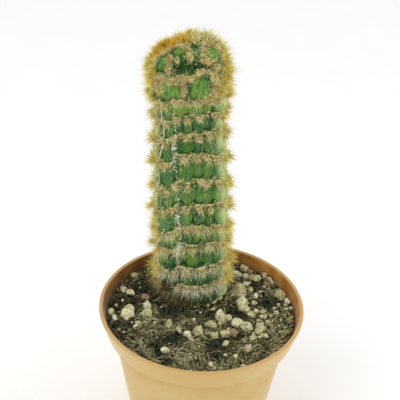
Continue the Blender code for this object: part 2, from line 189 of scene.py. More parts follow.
def turnsFrom(angles, tilts, rolls):
    # rotation matrices: a roll about X, then a tilt about Y, then a turn about Z
    ca, sa, cb, sb, cc, sc = (f(v) for v in (angles, tilts, rolls) for f in (np.cos, np.sin))
    zero, one = 0 * ca, 0 * ca + 1
    turn = np.stack([ca, -sa, zero, sa, ca, zero, zero, zero, one], -1).reshape(-1, 3, 3)
    tilt = np.stack([cb, zero, sb, zero, one, zero, -sb, zero, cb], -1).reshape(-1, 3, 3)
    roll = np.stack([one, zero, zero, zero, cc, -sc, zero, sc, cc], -1).reshape(-1, 3, 3)
    return turn @ tilt @ roll


def ball(divisions):
    # a round mesh of even triangles: an icosahedron, each triangle cut in four and pushed out to the ball
    g = (1 + 5**0.5) / 2
    corners = [(-1, g, 0), (1, g, 0), (-1, -g, 0), (1, -g, 0), (0, -1, g), (0, 1, g),
               (0, -1, -g), (0, 1, -g), (g, 0, -1), (g, 0, 1), (-g, 0, -1), (-g, 0, 1)]
    faces = [(0, 11, 5), (0, 5, 1), (0, 1, 7), (0, 7, 10), (0, 10, 11), (1, 5, 9), (5, 11, 4), (11, 10, 2),
             (10, 7, 6), (7, 1, 8), (3, 9, 4), (3, 4, 2), (3, 2, 6), (3, 6, 8), (3, 8, 9), (4, 9, 5),
             (2, 4, 11), (6, 2, 10), (8, 6, 7), (9, 8, 1)]
    points, faces = unit(np.array(corners, float)), np.array(faces)
    for _ in range(divisions):
        edges = np.sort(np.concatenate([faces[:, [0, 1]], faces[:, [1, 2]], faces[:, [2, 0]]]), axis=1)
        pairs, index = np.unique(edges, axis=0, return_inverse=True)
        middle = index.reshape(3, -1).T + len(points)
        points = np.concatenate([points, unit(points[pairs].mean(axis=1))])
        a, b, c = faces.T
        ab, bc, ca = middle.T
        quarters = (a, ab, ca), (b, bc, ab), (c, ca, bc), (ab, bc, ca)
        faces = np.concatenate([np.stack(quarter, -1) for quarter in quarters])
    return points, faces


def cloud(points, size, seed, octaves=1):
    # Smooth noise from -1 to 1: random numbers on a lattice of the given size, blended between its corners.
    # Each further octave is half the size and half as strong.
    total, weight, spread = 0.0, 1.0, 0.0
    for octave in range(octaves):
        table = np.random.default_rng(seed + octave).uniform(-1, 1, 4096)
        where = np.asarray(points, float) / size + 31.7 * octave
        cell = np.floor(where).astype(np.int64)
        f = where - cell
        f = f * f * (3 - 2 * f)
        value = 0.0
        for corner in np.ndindex(2, 2, 2):
            x, y, z = (cell[..., i] + corner[i] for i in range(3))
            key = x * 73856093 ^ y * 19349663 ^ z * 83492791  # large primes scatter the corners in the table
            x, y, z = (np.abs(1 - corner[i] - f[..., i]) for i in range(3))
            value = value + table[key % 4096] * (x * y * z)
        total = total + weight * value
        spread += weight
        weight *= 0.5
        size = size * 0.5
    return total / spread


def easeStep(low, high, value):
    t = np.clip((value - low) / (high - low), 0.0, 1.0)
    return t * t * (3 - 2 * t)


# Shader maths

class Flow:
    # one shader socket, so that sums and products of masks are written as plain maths
    def __init__(self, tree, socket):
        self.tree, self.socket = tree, socket

    def maths(self, operation, first, second):
        return addNode(self.tree, "ShaderNodeMath", {"operation": operation}, {0: first, 1: second})

    def __add__(self, other):
        return self.maths("ADD", self, other)

    def __sub__(self, other):
        return self.maths("SUBTRACT", self, other)

    def __rsub__(self, other):
        return self.maths("SUBTRACT", other, self)

    def __mul__(self, other):
        return self.maths("MULTIPLY", self, other)

    __radd__, __rmul__ = __add__, __mul__

    def between(self, low, high):
        # 0 at low, 1 at high and smooth between them
        sockets = {"Value": self, "From Min": low, "From Max": high}
        return addNode(self.tree, "ShaderNodeMapRange", {"interpolation_type": "SMOOTHSTEP"}, sockets)


def joinSocket(tree, place, value):
    if isinstance(value, Flow):
        tree.links.new(value.socket, place)
    elif isinstance(value, (tuple, list)) and place.type == "RGBA" and len(value) == 3:
        place.default_value = (*value, 1.0)
    else:
        place.default_value = value


def addNode(tree, kind, settings, sockets, output=0):
    # a node: its settings first, then the values or links of its sockets
    made = tree.nodes.new(kind)
    for key, value in settings.items():
        setattr(made, key, value)
    for key, value in sockets.items():
        joinSocket(tree, made.inputs[key], value)
    return Flow(tree, made.outputs[output])


class Finish:
    # one material: a Principled shader and the nodes that feed it
    def __init__(self, name, **fixed):
        self.material = bpy.data.materials.new(name)
        self.material.use_nodes = True
        self.tree = self.material.node_tree
        self.shader = self.tree.nodes["Principled BSDF"]
        for label, value in fixed.items():
            self.put(label.replace("_", " "), value)
        self.place = self.node("ShaderNodeTexCoord", output="Object")

    def node(self, kind, settings=None, sockets=None, output=0):
        return addNode(self.tree, kind, settings or {}, sockets or {}, output)

    def put(self, label, value):
        joinSocket(self.tree, self.shader.inputs[label], value)

    def noise(self, size, detail=2.0, stretch=(1.0, 1.0, 1.0), roughness=0.5):
        # noise whose lumps are about that many millimetres across, from 0 to 1
        place = self.node("ShaderNodeMapping", sockets={"Vector": self.place, "Scale": stretch})
        sockets = {"Vector": place, "Scale": 1 / (size * mm), "Detail": detail, "Roughness": roughness}
        return self.node("ShaderNodeTexNoise", sockets=sockets)

    def cells(self, size):
        # distance from the middles of cells about that many millimetres across
        return self.node("ShaderNodeTexVoronoi", sockets={"Vector": self.place, "Scale": 1 / (size * mm)})

    def field(self, name):
        return self.node("ShaderNodeAttribute", {"attribute_name": name}, output="Fac")

    def along(self, axis):
        # the place on the object along one axis, in metres
        return self.node("ShaderNodeSeparateXYZ", sockets={"Vector": self.place}, output=axis)

    def height(self):
        # height above the ground in millimetres
        return self.along("Z") * (1 / mm)

    def mix(self, factor, first, second):
        # the colour sockets of a Mix node are 6 and 7, and its colour comes out of 2
        return self.node("ShaderNodeMix", {"data_type": "RGBA"}, {0: factor, 6: first, 7: second}, 2)

    def over(self, colour, *layers):
        # colours laid over one another, each as a mask and a colour
        for mask, tint in layers:
            colour = self.mix(mask, colour, tint)
        return colour

    def bump(self, height, depth):
        # depth in millimetres
        self.put("Normal", self.node("ShaderNodeBump", sockets={"Height": height, "Distance": depth * mm}))


# Camera, floor and light

viewFromFront = {
    "lens": 120.44,  # of a 36 mm frame
    "place": (0.0, -536.0, 433.5),  # from the middle of the rim
    "tilt": 55.48,
    "roll": -2.12,
    "pan": 1.80,
}
studio = {
    "sky": 0.77,
    "keyPower": 2.15,
    "keyPlace": (-380.0, -300.0, 860.0),
    "keySize": 640.0,
    "fillPower": 1.05,
    "fillPlace": (620.0, -60.0, 560.0),
    "fillSize": 700.0,
    "aimHeight": 120.0,
    "floorHalf": 3000.0,
    "floorColour": (0.95, 0.95, 0.95),
    "floorShade": (0.90, 0.90, 0.90),
    "floorGlow": 0.13,
}


def addCamera(look):
    data = bpy.data.cameras.new("front_view")
    data.lens = look["lens"]
    data.clip_start, data.clip_end = 0.01, 20.0
    camera = bpy.data.objects.new("front_view", data)
    x, y, z = look["place"]
    camera.location = (x * mm, y * mm, (z + rimHeight) * mm)
    camera.rotation_euler = [math.radians(look[k]) for k in ("tilt", "roll", "pan")]
    bpy.context.scene.collection.objects.link(camera)
    bpy.context.scene.camera = camera


def addSoftLight(name, place, size, power, aimHeight):
    data = bpy.data.lights.new(name, "AREA")
    data.shape, data.size, data.energy = "DISK", size * mm, power
    lamp = bpy.data.objects.new(name, data)
    lamp.location = [v * mm for v in place]
    x, y, z = place
    lamp.rotation_euler = (math.atan2(math.hypot(x, y), z - aimHeight), 0.0, math.atan2(x, -y))
    bpy.context.scene.collection.objects.link(lamp)


def addStudio(look):
    world = bpy.data.worlds.new("studio")
    bpy.context.scene.world = world
    world.use_nodes = True
    back = world.node_tree.nodes["Background"]
    back.inputs["Color"].default_value = (1.0, 1.0, 1.0, 1.0)
    back.inputs["Strength"].default_value = look["sky"]
    bpy.context.scene.view_settings.view_transform = "Standard"
    addSoftLight("key", look["keyPlace"], look["keySize"], look["keyPower"], look["aimHeight"])
    addSoftLight("fill", look["fillPlace"], look["fillSize"], look["fillPower"], look["aimHeight"])
    half = look["floorHalf"] * mm
    corners = [(x * half, y * half, 0) for x, y in ((-1, -1), (1, -1), (1, 1), (-1, 1))]
    mesh = bpy.data.meshes.new("floor")
    mesh.from_pydata(corners, [], [(0, 1, 2, 3)])
    paper = Finish("studio paper", Roughness=0.9, Specular_IOR_Level=0.1, Emission_Strength=look["floorGlow"])
    paper.put("Emission Color", (1.0, 1.0, 1.0))
    paper.put("Base Color", paper.mix(paper.noise(40.0), look["floorColour"], look["floorShade"]))
    mesh.materials.append(paper.material)
    floor = bpy.data.objects.new("floor", mesh)
    bpy.context.scene.collection.objects.link(floor)


addCamera(viewFromFront)
addStudio(studio)
print("camera, floor and light are in place")


# Pot

pot = {
    "wall": 1.2,
    "lipHeight": 1.6,
    "lipRound": 0.55,
    "mouthRadius": 50.5,
    "collarHeight": 12.5,
    "collarFootRadius": 48.8,
    "bodyTopRadius": 45.0,
    "baseRadius": 32.5,
    "footRingInner": 22.0,
    "recessHeight": 2.6,
    "recessSlope": 1.5,
    "drainRadius": 3.0,
    "drainCircle": 12.5,
    "drainCount": 6,
    "drainSides": 32,
    "sides": 240,
    "cornerSteps": 5,
    "sharpAngle": 35,
    "orange": (0.62, 0.400, 0.122),
    "paleOrange": (0.70, 0.60, 0.31),
    "ruddy": (0.64, 0.36, 0.15),
    "sheen": (1.0, 0.95, 0.76, 1.0),
    "innerOrange": (0.43, 0.165, 0.028),
    "innerPale": (0.62, 0.30, 0.060),
    "innerDark": (0.19, 0.060, 0.010),
    "innerPaintedShade": (0.070, 0.024, 0.006),
    "soilStain": (0.065, 0.042, 0.018),
    "lipColour": (0.55, 0.35, 0.14),
}


def roundedLine(corners, steps):
    # A line of (radius, height, rounding) corners, each corner swapped for a curve that starts and ends
    # its rounding away: (1-t)^2 before + 2t(1-t) corner + t^2 after.
    t = np.linspace(0, 1, steps)[:, None]
    line = []
    for i, (r, z, rounding) in enumerate(corners):
        here = np.array([r, z])
        if rounding == 0 or i in (0, len(corners) - 1):
            line.append(here[None])
            continue
        before = here + unit(np.array(corners[i - 1][:2]) - here) * rounding
        after = here + unit(np.array(corners[i + 1][:2]) - here) * rounding
        line.append((1 - t)**2 * before + 2 * t * (1 - t) * here + t**2 * after)
    return np.concatenate(line)


def bodyRadiusAt(height):
    share = height / (rimHeight - pot["collarHeight"])
    return pot["baseRadius"] + (pot["bodyTopRadius"] - pot["baseRadius"]) * share


def potLine():
    p = pot
    ledge, wall, soft = rimHeight - p["collarHeight"], p["wall"], p["lipRound"]
    floorTop, lipFoot, inset = p["recessHeight"] + wall, rimHeight - p["lipHeight"], p["lipRound"] + 0.05
    return roundedLine([
        (p["footRingInner"] - p["recessSlope"], p["recessHeight"], 0),
        (p["footRingInner"], 0.0, 0.3),
        (p["baseRadius"], 0.0, 0.8),
        (p["bodyTopRadius"] - 0.02, ledge - 1.2, 0),
        (p["bodyTopRadius"], ledge, 0.5),
        (p["collarFootRadius"], ledge, 0.4),
        (lipRadius - inset, lipFoot - 0.3, 0.3),
        (lipRadius - 0.02, lipFoot + 0.2, 0.35),
        (lipRadius - 0.02, rimHeight, soft),
        (p["mouthRadius"], rimHeight, soft),
        (p["collarFootRadius"] - wall, ledge + wall, 0.5),
        (bodyRadiusAt(ledge + wall) - wall, ledge + wall, 0.5),
        (bodyRadiusAt(wall) - wall, wall, 0.8),
        (p["footRingInner"] + wall, wall, 0.4),
        (p["footRingInner"] - p["recessSlope"] + wall / 2, floorTop, 0),
    ], p["cornerSteps"])


def cutDrains(piece):
    p = pot
    angle = np.arange(p["drainCount"]) * 2 * np.pi / p["drainCount"]
    ring = p["drainCircle"] * np.stack([np.cos(angle), np.sin(angle)], -1)
    low, high = p["recessHeight"] - 2, p["recessHeight"] + p["wall"] + 2
    parts, faces, used = [], [], 0
    for place in np.concatenate([[[0.0, 0.0]], ring]):
        rings = np.stack([level(p["drainRadius"], height, p["drainSides"], place) for height in (low, high)])
        points, triangles = skinRings(rings, (*place, low), (*place, high))
        parts.append(points * mm)
        faces.append(triangles + used)
        used += len(points)
    mesh = bpy.data.meshes.new("drains")
    mesh.from_pydata(np.concatenate(parts).tolist(), [], np.concatenate(faces).tolist())
    cutter = bpy.data.objects.new("drains", mesh)
    bpy.context.scene.collection.objects.link(cutter)
    modifier = piece.modifiers.new("drains", "BOOLEAN")
    modifier.operation, modifier.solver, modifier.object = "DIFFERENCE", "EXACT", cutter
    graph = bpy.context.evaluated_depsgraph_get()
    piece.data = bpy.data.meshes.new_from_object(piece.evaluated_get(graph), depsgraph=graph)
    piece.modifiers.clear()
    bpy.data.objects.remove(cutter)
    # the cut leaves a few points on one another, which are made one
    shell = bmesh.new()
    shell.from_mesh(piece.data)
    nearby = 0.001 * mm
    bmesh.ops.remove_doubles(shell, verts=shell.verts, dist=nearby)
    bmesh.ops.triangulate(shell, faces=[face for face in shell.faces if len(face.verts) > 4])
    bmesh.ops.dissolve_degenerate(shell, edges=shell.edges, dist=nearby)
    shell.to_mesh(piece.data)
    shell.free()


def potFinish():
    p = pot
    f = Finish("terracotta plastic", Roughness=0.5, Specular_IOR_Level=0.4, Subsurface_Weight=0.1,
               Subsurface_Radius=(0.004, 0.002, 0.0008), Subsurface_Scale=1.0, Sheen_Weight=0.42,
               Sheen_Roughness=0.4, Sheen_Tint=p["sheen"])
    high = f.height()

    def under(lower, upper):
        # 0 at one depth under the rim and 1 at the other, both in millimetres
        return high.between(rimHeight - lower, rimHeight - upper)

    broad, streak, grain = f.noise(30.0, 3.0), f.noise(3.0, 3.0, (1.0, 1.0, 0.12)), f.noise(0.35)
    dust = f.noise(1.1, 4.0).between(0.52, 0.70) * under(3.5, 7.5)
    across = f.along("X")
    # darker towards the left of the inner wall: partly soil stain, partly painted shade
    stainAndShade = across.between(0.020, -0.025)
    inner = f.over(
        f.mix(f.noise(7.0, 4.0).between(0.35, 0.65), p["innerOrange"], p["innerPale"]),
        (f.noise(11.0, 3.0).between(0.46, 0.62) * 0.2 + stainAndShade * 0.62, p["innerDark"]),
        # painted shade on the inner wall, in a band to the left near the stem
        (across.between(-0.048, -0.030) * across.between(0.0, -0.018) * 0.5, p["innerPaintedShade"]),
        (under(1.5, 7.0) * (0.15 + stainAndShade * 0.3), p["soilStain"]),
        (dust * 0.8, p["soilStain"]),
    )
    f.put("Base Color", f.over(
        p["orange"],
        (broad.between(0.35, 0.75) * 0.4, p["paleOrange"]),
        (streak.between(0.5, 0.8) * 0.22, p["ruddy"]),
        (f.field("inside"), inner),
        (under(0.55, 0.1) * 0.7, p["lipColour"]),
    ))
    f.put("Roughness", 0.40 + 0.22 * broad + 0.10 * streak)
    f.bump(grain * 0.5 + streak * 0.5, 0.05)
    return f.material


def addPot():
    p, line = pot, potLine()
    rings = np.stack([level(r, z, p["sides"]) for r, z in line])
    under, over = (0, 0, p["recessHeight"]), (0, 0, p["recessHeight"] + p["wall"])
    points, triangles = skinRings(rings, under, over)
    top = np.argmax(line[:, 1] + 1e-3 * np.arange(len(line)))  # the inner end of the lip
    ringInside = (np.arange(len(line)) > top).astype(float)
    fields = {"inside": ringField(np.repeat(ringInside, p["sides"]), 0.0, 1.0)}
    shell = addPiece("pot_shell", points, triangles, potFinish(), fields, "pot",
                     p["sharpAngle"])
    cutDrains(shell)


addPot()


# Stem

stem = {
    "x": -5.2,
    "y": 20.0,
    "lean": 0.047,
    "soilHeight": -5.0,
    "buriedDepth": 26.0,
    "buriedTopRadius": 16.4,
    "buriedEndRadius": 12.5,
    # height of each band of areoles at the front of the stem
    "rowHeights": (-3.7, 9.8, 21.6, 36.1, 47.1, 60.1, 73.9, 88.2, 100.3, 110.6, 120.0),
    "rowRise": 1.7,
    "flankDrop": 11.0,
    "panelDrop": 3.2,
    "panelLeft": -62.0,
    "panelRight": -26.0,
    "cells": 18,
    # height and radius of the stem in the grooves between its cells
    "grooveProfile": (
        (-5, 16.8), (15, 17.5), (45, 17.8), (75, 17.2), (95, 16.2), (103, 16.0), (112, 17.3), (120, 18.0),
    ),
    "meanRadius": 17.0,
    "rowPitch": 12.0,
    "cellSwell": 1.0,
    "crease": 0.42,
    "padSwell": 1.9,
    "pleatDepth": 0.42,
    "bandWidth": 1.15,
    "bandLift": 0.9,
    "seamLift": 0.6,
    "crustLift": 0.15,
    "fineRough": 0.18,
    "broadRough": 0.40,
    "sides": 288,
    "ringsPerRow": 25,
    "headRings": 58,
    # height and azimuth of points along each seam, and half the width of each
    "paleSeam": (
        (-5, -76), (40, -74), (58, -69), (70, -53), (75, -56), (79, -61), (84, -55), (91, -50), (97, -46),
        (106, -48), (118, -44),
    ),
    "crustSeam": (
        (-5, -26), (22, -20), (32, -19), (43, -14), (53, -18), (63, -17), (77, -20), (87, -24), (94, -24),
        (103, -20), (112, -22),
    ),
    "backSeam": ((-5, 128), (30, 120), (70, 132), (110, 118)),
    "paleWidth": 0.50,
    "crustWidth": 0.8,
    "backWidth": 0.45,
    # the corky foot: the azimuth of its patch, how high it reaches and how ragged its edge is
    "corkAzimuth": -38,
    "corkHeight": 8.2,
    "corkRagged": 4.0,
    # the pale flanks: azimuths between which they come in and go out, and how high they reach
    "flankRight": (44, 68),
    "flankLeft": (58, 74),
    "flankBack": (106, 82),
    "flankTop": 122,
}
head = {
    "radius": 18.0,
    "rise": 16.0,
    "middle": 124.5,
    # azimuth, elevation, radius, height and paleness
    "tubercles": (
        (-30, -7, 5.2, 1.3, 1.1), (-17, -8, 4.8, 1.2, 1.0), (14, 10, 3.7, 1.3, 0.75), (22, 9, 3.7, 1.5, 0.6),
        (18, -2, 5.0, 1.5, 0.95), (60, -4, 4.4, 1.4, 0.5), (84, 2, 5.2, 1.6, 0.5), (-55, 33, 4.2, 2.0, 0.5),
        (-34, 62, 2.8, 2.2, 0.65), (61, 48, 4.6, 2.4, 0.65), (-64, -2, 4.6, 1.6, 0.5),
        (-102, 8, 5.2, 1.8, 0.5), (118, 12, 5.2, 1.8, 0.6), (152, 4, 5.4, 1.8, 0.7),
        (-140, 2, 5.4, 2.0, 0.8), (-172, 16, 5.0, 1.8, 0.6), (104, 46, 4.8, 2.0, 0.4),
        (140, 40, 4.6, 2.0, 0.6), (-150, 38, 4.6, 2.0, 0.5), (-112, 40, 4.8, 1.8, 0.4),
        (178, 52, 4.4, 1.8, 0.6), (24, 62, 3.0, 1.2, 0.4),
    ),
    # azimuth, elevation, radius and depth of the hollows: a trough across the front, and one at its right
    "pits": (
        (-18, 33, 4.4, 2.2), (-4, 38, 4.8, 2.6), (10, 40, 4.6, 2.6), (25, 41, 3.6, 2.2), (62, 20, 2.4, 1.2),
    ),
    # lines of wool between the tubercles: the width of each, then azimuth and elevation of its points
    "ridges": (
        (1.3, (-51, 9), (-37, 13), (-22, 15), (-9, 23), (3, 23)), (0.9, (-6, 20), (-5, 8), (-4, -7)),
        (2.3, (-26, 12), (-18, 14)), (1.9, (-40, 14), (-37, 13)), (1.8, (-3, 22), (3, 21)),
        (1.9, (12, 26), (18, 32), (25, 32)), (1.3, (25, 32), (36, 27)), (2.5, (42, 20), (46, 6), (40, -8)),
        (2.0, (-46, 6), (-42, -1)), (1.2, (-42, -1), (-39, -9)), (1.6, (20, -13), (34, -12)),
        (1.4, (-45, 49), (-37, 38), (-33, 25)), (2.0, (-1, 63), (2, 56), (5, 50)),
        (1.1, (-25, 47), (-22, 44)), (0.7, (-50, 68), (-20, 70), (2, 66)),
        (1.4, (77, 71), (50, 62), (41, 57), (31, 48)),
        (1.8, (31, 48), (40, 42), (47, 36), (56, 30), (62, 26)),
        (0.55, (-59, 22), (-68, 40), (-61, 61), (-37, 72), (0, 75)),
        (1.0, (80, 62), (78, 50), (76, 41), (72, 25), (60, 14)), (1.5, (56, 14), (58, 4), (52, -10)),
        (1.2, (-58, 8), (-52, -2), (-50, -12)), (1.0, (-84, 26), (-92, 4)), (1.0, (86, 22), (98, 4)),
        (1.2, (100, 28), (120, 30), (146, 22), (168, 32), (-164, 22), (-130, 26), (-100, 28)),
        (1.2, (128, -6), (134, 20)), (1.2, (-122, -6), (-124, 20)), (1.2, (-156, 16), (-156, -8)),
        (1.2, (168, -8), (172, 4)),
    ),
    # a dark crack between the face's lobes, given as the lines of wool are
    "cracks": ((0.5, (12, 42), (24, 40), (34, 36), (46, 37), (56, 36)), (0.35, (34, 36), (30, 30))),
    # azimuth, elevation, radius and height of the head's broad swellings, which make it lopsided
    "swellings": ((-115, 50, 13.0, -1.3), (95, 42, 14.0, 0.4), (150, 58, 11.0, 1.5), (90, 0, 12.0, -0.8)),
    "woolLift": 1.5,
    "pleatDepth": 0.55,
    "crackDepth": 1.2,
    # the rim of the face, as the turn round its middle and the angle from it, and the middle's elevation
    "faceMiddle": 30.0,
    "faceRim": (
        (-180, 60), (-120, 56), (-89, 54), (-70, 60), (-55, 57), (-31, 51), (-15, 48), (5, 48), (41, 58),
        (56, 62), (75, 62), (87, 58), (120, 56), (180, 60),
    ),
}
lastRow = len(stem["rowHeights"]) - 1


def stemCentre(height):
    return stem["x"] - stem["lean"] * (height - stem["soilHeight"]), stem["y"] + 0 * height


def signed(azimuth):
    return (np.asarray(azimuth, float) + 180.0) % 360.0 - 180.0


def rowHeight(row, azimuth):
    # A band of areoles climbs to the right, drops in the panel between the two seams, and wavers a little.
    # It hangs lower on the flanks by s / (1 + (s/1.15)^4)^(1/4) of the flank drop, with s = 1 - cos(azimuth).
    azimuth = signed(azimuth)
    row = np.asarray(row)
    freedom = np.minimum(1.0, np.minimum(row, (lastRow + 1.2 - row) / 2.0))
    hang = np.minimum(1.0, np.minimum(row / 4.0, (lastRow + 1 - row) * 0.3))
    s = 1 - np.cos(np.radians(azimuth))
    flank = stem["flankDrop"] * hang * s / (1 + (s / 1.15)**4)**0.25
    panel = easeStep(stem["panelLeft"] - 3, stem["panelLeft"] + 3, azimuth) * (
        1 - easeStep(stem["panelRight"] - 3, stem["panelRight"] + 3, azimuth))
    base = np.array(stem["rowHeights"])[np.clip(row, 0, lastRow).astype(int)]
    a = np.radians(azimuth)
    waver = 0.45 * np.sin(4 * a + 2.1 * row) + 0.35 * np.sin(9 * a - 1.3 * row)
    return base + freedom * (stem["rowRise"] * np.sin(a) - stem["panelDrop"] * panel + waver) - flank


def grooveRadius(height):
    return alongLine(stem["grooveProfile"], height)


def wander(azimuth, row):
    # cells of a row are wider or narrower than even, by a few degrees
    a = np.radians(azimuth)
    return 4.2 * np.sin(3 * a + 1.7 * row) + 2.6 * np.sin(5 * a - 2.3 * row)


def cellAcross(azimuth, row):
    # the cell's number round the stem and the place across it, 0 and 1 in its grooves
    third = 360.0 / (3 * stem["cells"])  # each row is a third of a cell round from the row below
    u = ((azimuth + wander(azimuth, row)) / third - row) / 3
    number = np.floor(u)
    return number % stem["cells"], u - number


def cellMiddle(number, row):
    third = 360.0 / (3 * stem["cells"])
    even = ((number + 0.5) * 3 + row) * third
    azimuth = even
    for _ in range(8):  # closes in on the azimuth whose wander gives the even place
        azimuth = even - wander(azimuth, row)
    return signed(azimuth)


def cellRandom(number, row, seed):
    # one random number from 0 to 1 for each cell
    rows = lastRow + 3
    table = np.random.default_rng(seed).uniform(0, 1, (rows, stem["cells"]))
    return table[(np.asarray(row).astype(int) + 1) % rows, np.asarray(number).astype(int)]


def seamAt(name, azimuth, height, radius):
    # 1 on a seam, fading round the stem
    away = np.radians(signed(azimuth - alongLine(stem[name + "Seam"], height))) * radius
    return bell(away / stem[name + "Width"])


def stemFields(azimuth, v):
    # v counts bands: its whole part is the row and the rest the share of the way to the next band.
    # A cell is a shingle with a round lip below. With w from 0 in its middle to 1 in its groove and q from
    # 0 at its foot to 1 at its top, its relief is (1 - w^4)^0.9 (1 - c w^2) across, as deep as the groove is
    # open, times a quarter circle over the lip, times a fall of 0.62 q^1.2 towards the band above. Each
    # areole is a pad at the top of its cell, exp(-x^2 - y^2), and fine pleats run down the cell.
    s = stem
    row = np.clip(np.floor(v), 0, lastRow - 1)
    share = v - row
    height = rowHeight(row, azimuth) * (1 - share) + rowHeight(row + 1, azimuth) * share
    radius = grooveRadius(height)
    number, across = cellAcross(azimuth, row)
    acrossBelow = cellAcross(azimuth, row - 1)[1]
    w = np.abs(2 * across - 1)
    tone, drop, size, sunk, pleated = (cellRandom(number, row, seed) for seed in (5, 6, 7, 9, 10))
    opened = cellRandom(np.where(across > 0.5, number, (number - 1) % s["cells"]), row, 8)
    lineAbove = 1 + 0.07 * np.cos(2 * np.pi * across)
    lineBelow = 0.07 * np.cos(2 * np.pi * acrossBelow)
    low = easeStep(7.0, 2.5, row)
    depth = 0.30 + 0.12 * low + (0.52 - 0.14 * low) * easeStep(0.25, 0.95, opened)
    bottom = 0.06 + 0.7 * lineBelow + (0.04 + (0.16 + 0.14 * low) * depth) * w**2.4 + 0.08 * (drop - 0.5)
    top = 0.95 - 0.05 * w**2
    q = (share - bottom) / (top - bottom)
    lip = np.sqrt(np.clip(1 - (1 - np.clip(q / 0.30, 0, 1))**2, 0, 1))
    fall = 1 - 0.62 * np.clip((q - 0.2) / 0.8, 0, 1)**1.2
    cross = 1 - depth * (1 - np.clip(1 - w**4, 0, 1)**0.9 * (1 - (0.25 + 0.3 * low) * w**2))
    belly = cross * lip * fall * (0.56 + 0.76 * size) * (1 - easeStep(0.95, 1.15, q))
    grain = cloud(onStem(azimuth, height, radius), 3.2, 23, 2)
    pleat = (0.5 - 0.5 * np.cos(np.radians(azimuth) * 60 + 9 * tone + 2.6 * grain))**1.6
    pleat = pleat * np.clip(0.3 + 0.7 * pleated + 0.9 * grain, 0, 1)
    pitch, rowPitch = 2 * np.pi * radius / s["cells"], s["rowPitch"]
    near = bell((across - 0.5) * pitch / 2.3, (share - 0.95 + 0.18 * sunk) * rowPitch / 1.45)
    nearBelow = bell((acrossBelow - 0.5) * pitch / 2.0, (share + 0.05) * rowPitch / 1.3)
    areole = np.maximum(near, nearBelow)
    off = np.minimum(np.abs(share - lineBelow), np.abs(share - lineAbove)) * rowPitch
    band = bell(off / s["bandWidth"])
    crease = s["crease"]
    lift = (s["cellSwell"] + crease) * belly - s["pleatDepth"] * pleat * belly * easeStep(1.0, 0.2, q)
    woolly = s["bandLift"] * band + (s["padSwell"] + crease - 0.3) * areole
    thread = band * np.clip(0.40 + 0.35 * grain, 0, 0.6)
    wool = np.clip(1.25 * areole + thread, 0, 1) * (1 - 0.6 * np.clip(belly, 0, 1))
    pale, back, crust = (seamAt(name, azimuth, height, radius) for name in ("pale", "back", "crust"))
    pale = np.maximum(pale, back)
    relief = -crease + np.maximum(lift, woolly) + s["seamLift"] * pale + s["crustLift"] * crust
    none = 0 * azimuth
    return {"height": height, "relief": relief, "radius": radius, "wool": wool, "tone": tone, "belly": belly,
            "pleat": pleat * belly, "pale": pale, "crust": crust, "gold": none, "rust": none, "crack": none}


def onStem(azimuth, height, radius):
    x, y = stemCentre(height)
    a = np.radians(azimuth)
    return np.stack([x + radius * np.sin(a), y - radius * np.cos(a), height + rimHeight + 0 * a], -1)


def ballPoint(azimuth, elevation):
    a, e = np.radians(azimuth), np.radians(elevation)
    return np.stack([np.sin(a) * np.cos(e), -np.cos(a) * np.cos(e), np.sin(e) + 0 * a], -1) * head["radius"]


def headNormal(azimuth, elevation):
    a, e = np.radians(azimuth), np.radians(np.maximum(elevation, 0.0))
    return unit(np.stack([np.sin(a) * np.cos(e) / head["radius"], -np.cos(a) * np.cos(e) / head["radius"],
                          np.sin(e) / head["rise"] + 0 * a], -1))


def headDistance(azimuth, elevation, toAzimuth, toElevation):
    # distance over the head in millimetres, taking it as a ball
    cosine = (ballPoint(azimuth, elevation) * ballPoint(toAzimuth, toElevation)).sum(-1) / head["radius"]**2
    return head["radius"] * np.arccos(np.clip(cosine, -1, 1))


def ridgeDistance(azimuth, elevation, kind="ridges"):
    # distance to the nearest line of wool in widths of it, each a chain of straight runs
    here = ballPoint(azimuth, elevation)
    nearest = np.full(here.shape[:-1], 99.0)
    for width, *line in head[kind]:
        corners = ballPoint(*np.array(line, float).T)
        for start, end in zip(corners[:-1], corners[1:]):
            run = end - start
            t = np.clip(((here - start) @ run) / (run @ run), 0, 1)
            nearest = np.minimum(nearest, np.linalg.norm(here - start - t[..., None] * run, axis=-1) / width)
    return nearest * (1 + 0.5 * cloud(here, 2.2, 29, 2))


def outsideFace(azimuth, elevation):
    # degrees outside the rim of the head's green face, negative inside it, and the turn round its middle
    a, e, m = np.radians(azimuth), np.radians(elevation), math.radians(head["faceMiddle"])
    right = np.cos(e) * np.sin(a)
    up = np.sin(e) * math.cos(m) - np.cos(e) * np.cos(a) * math.sin(m)
    out = np.sin(e) * math.sin(m) + np.cos(e) * np.cos(a) * math.cos(m)
    turn = np.degrees(np.arctan2(right, up))
    return np.degrees(np.arccos(np.clip(out, -1, 1))) - alongLine(head["faceRim"], turn), turn


def paleTurn(turn):
    # 1 where the spines behind the face are pale and thin, to the right of its top
    return easeStep(-4, 8, turn) * easeStep(54, 38, turn)


def goldMat(azimuth, elevation):
    # where the head's dense golden spines stand: behind the face, and thinner down the back
    outside, turn = outsideFace(azimuth, elevation)
    spread = easeStep(-2, 5, outside) * (1 - 0.65 * easeStep(38, 62, outside)) * easeStep(-24, -2, elevation)
    return spread * (1 - 0.3 * paleTurn(turn))


def rustAt(azimuth, elevation):
    # 1 where the golden mat is deep amber: beside the face left of its top, and in two patches right of it
    outside, turn = outsideFace(azimuth, elevation)
    left = easeStep(14, -6, turn) * easeStep(72, 34, outside) * (0.3 + 0.7 * easeStep(-88, -62, turn))
    right = 0.8 * bell((turn - 62) / 11) + 0.7 * bell((turn - 98) / 10)
    return np.maximum(left, right * easeStep(30, 12, outside)) * easeStep(-6, 3, outside)


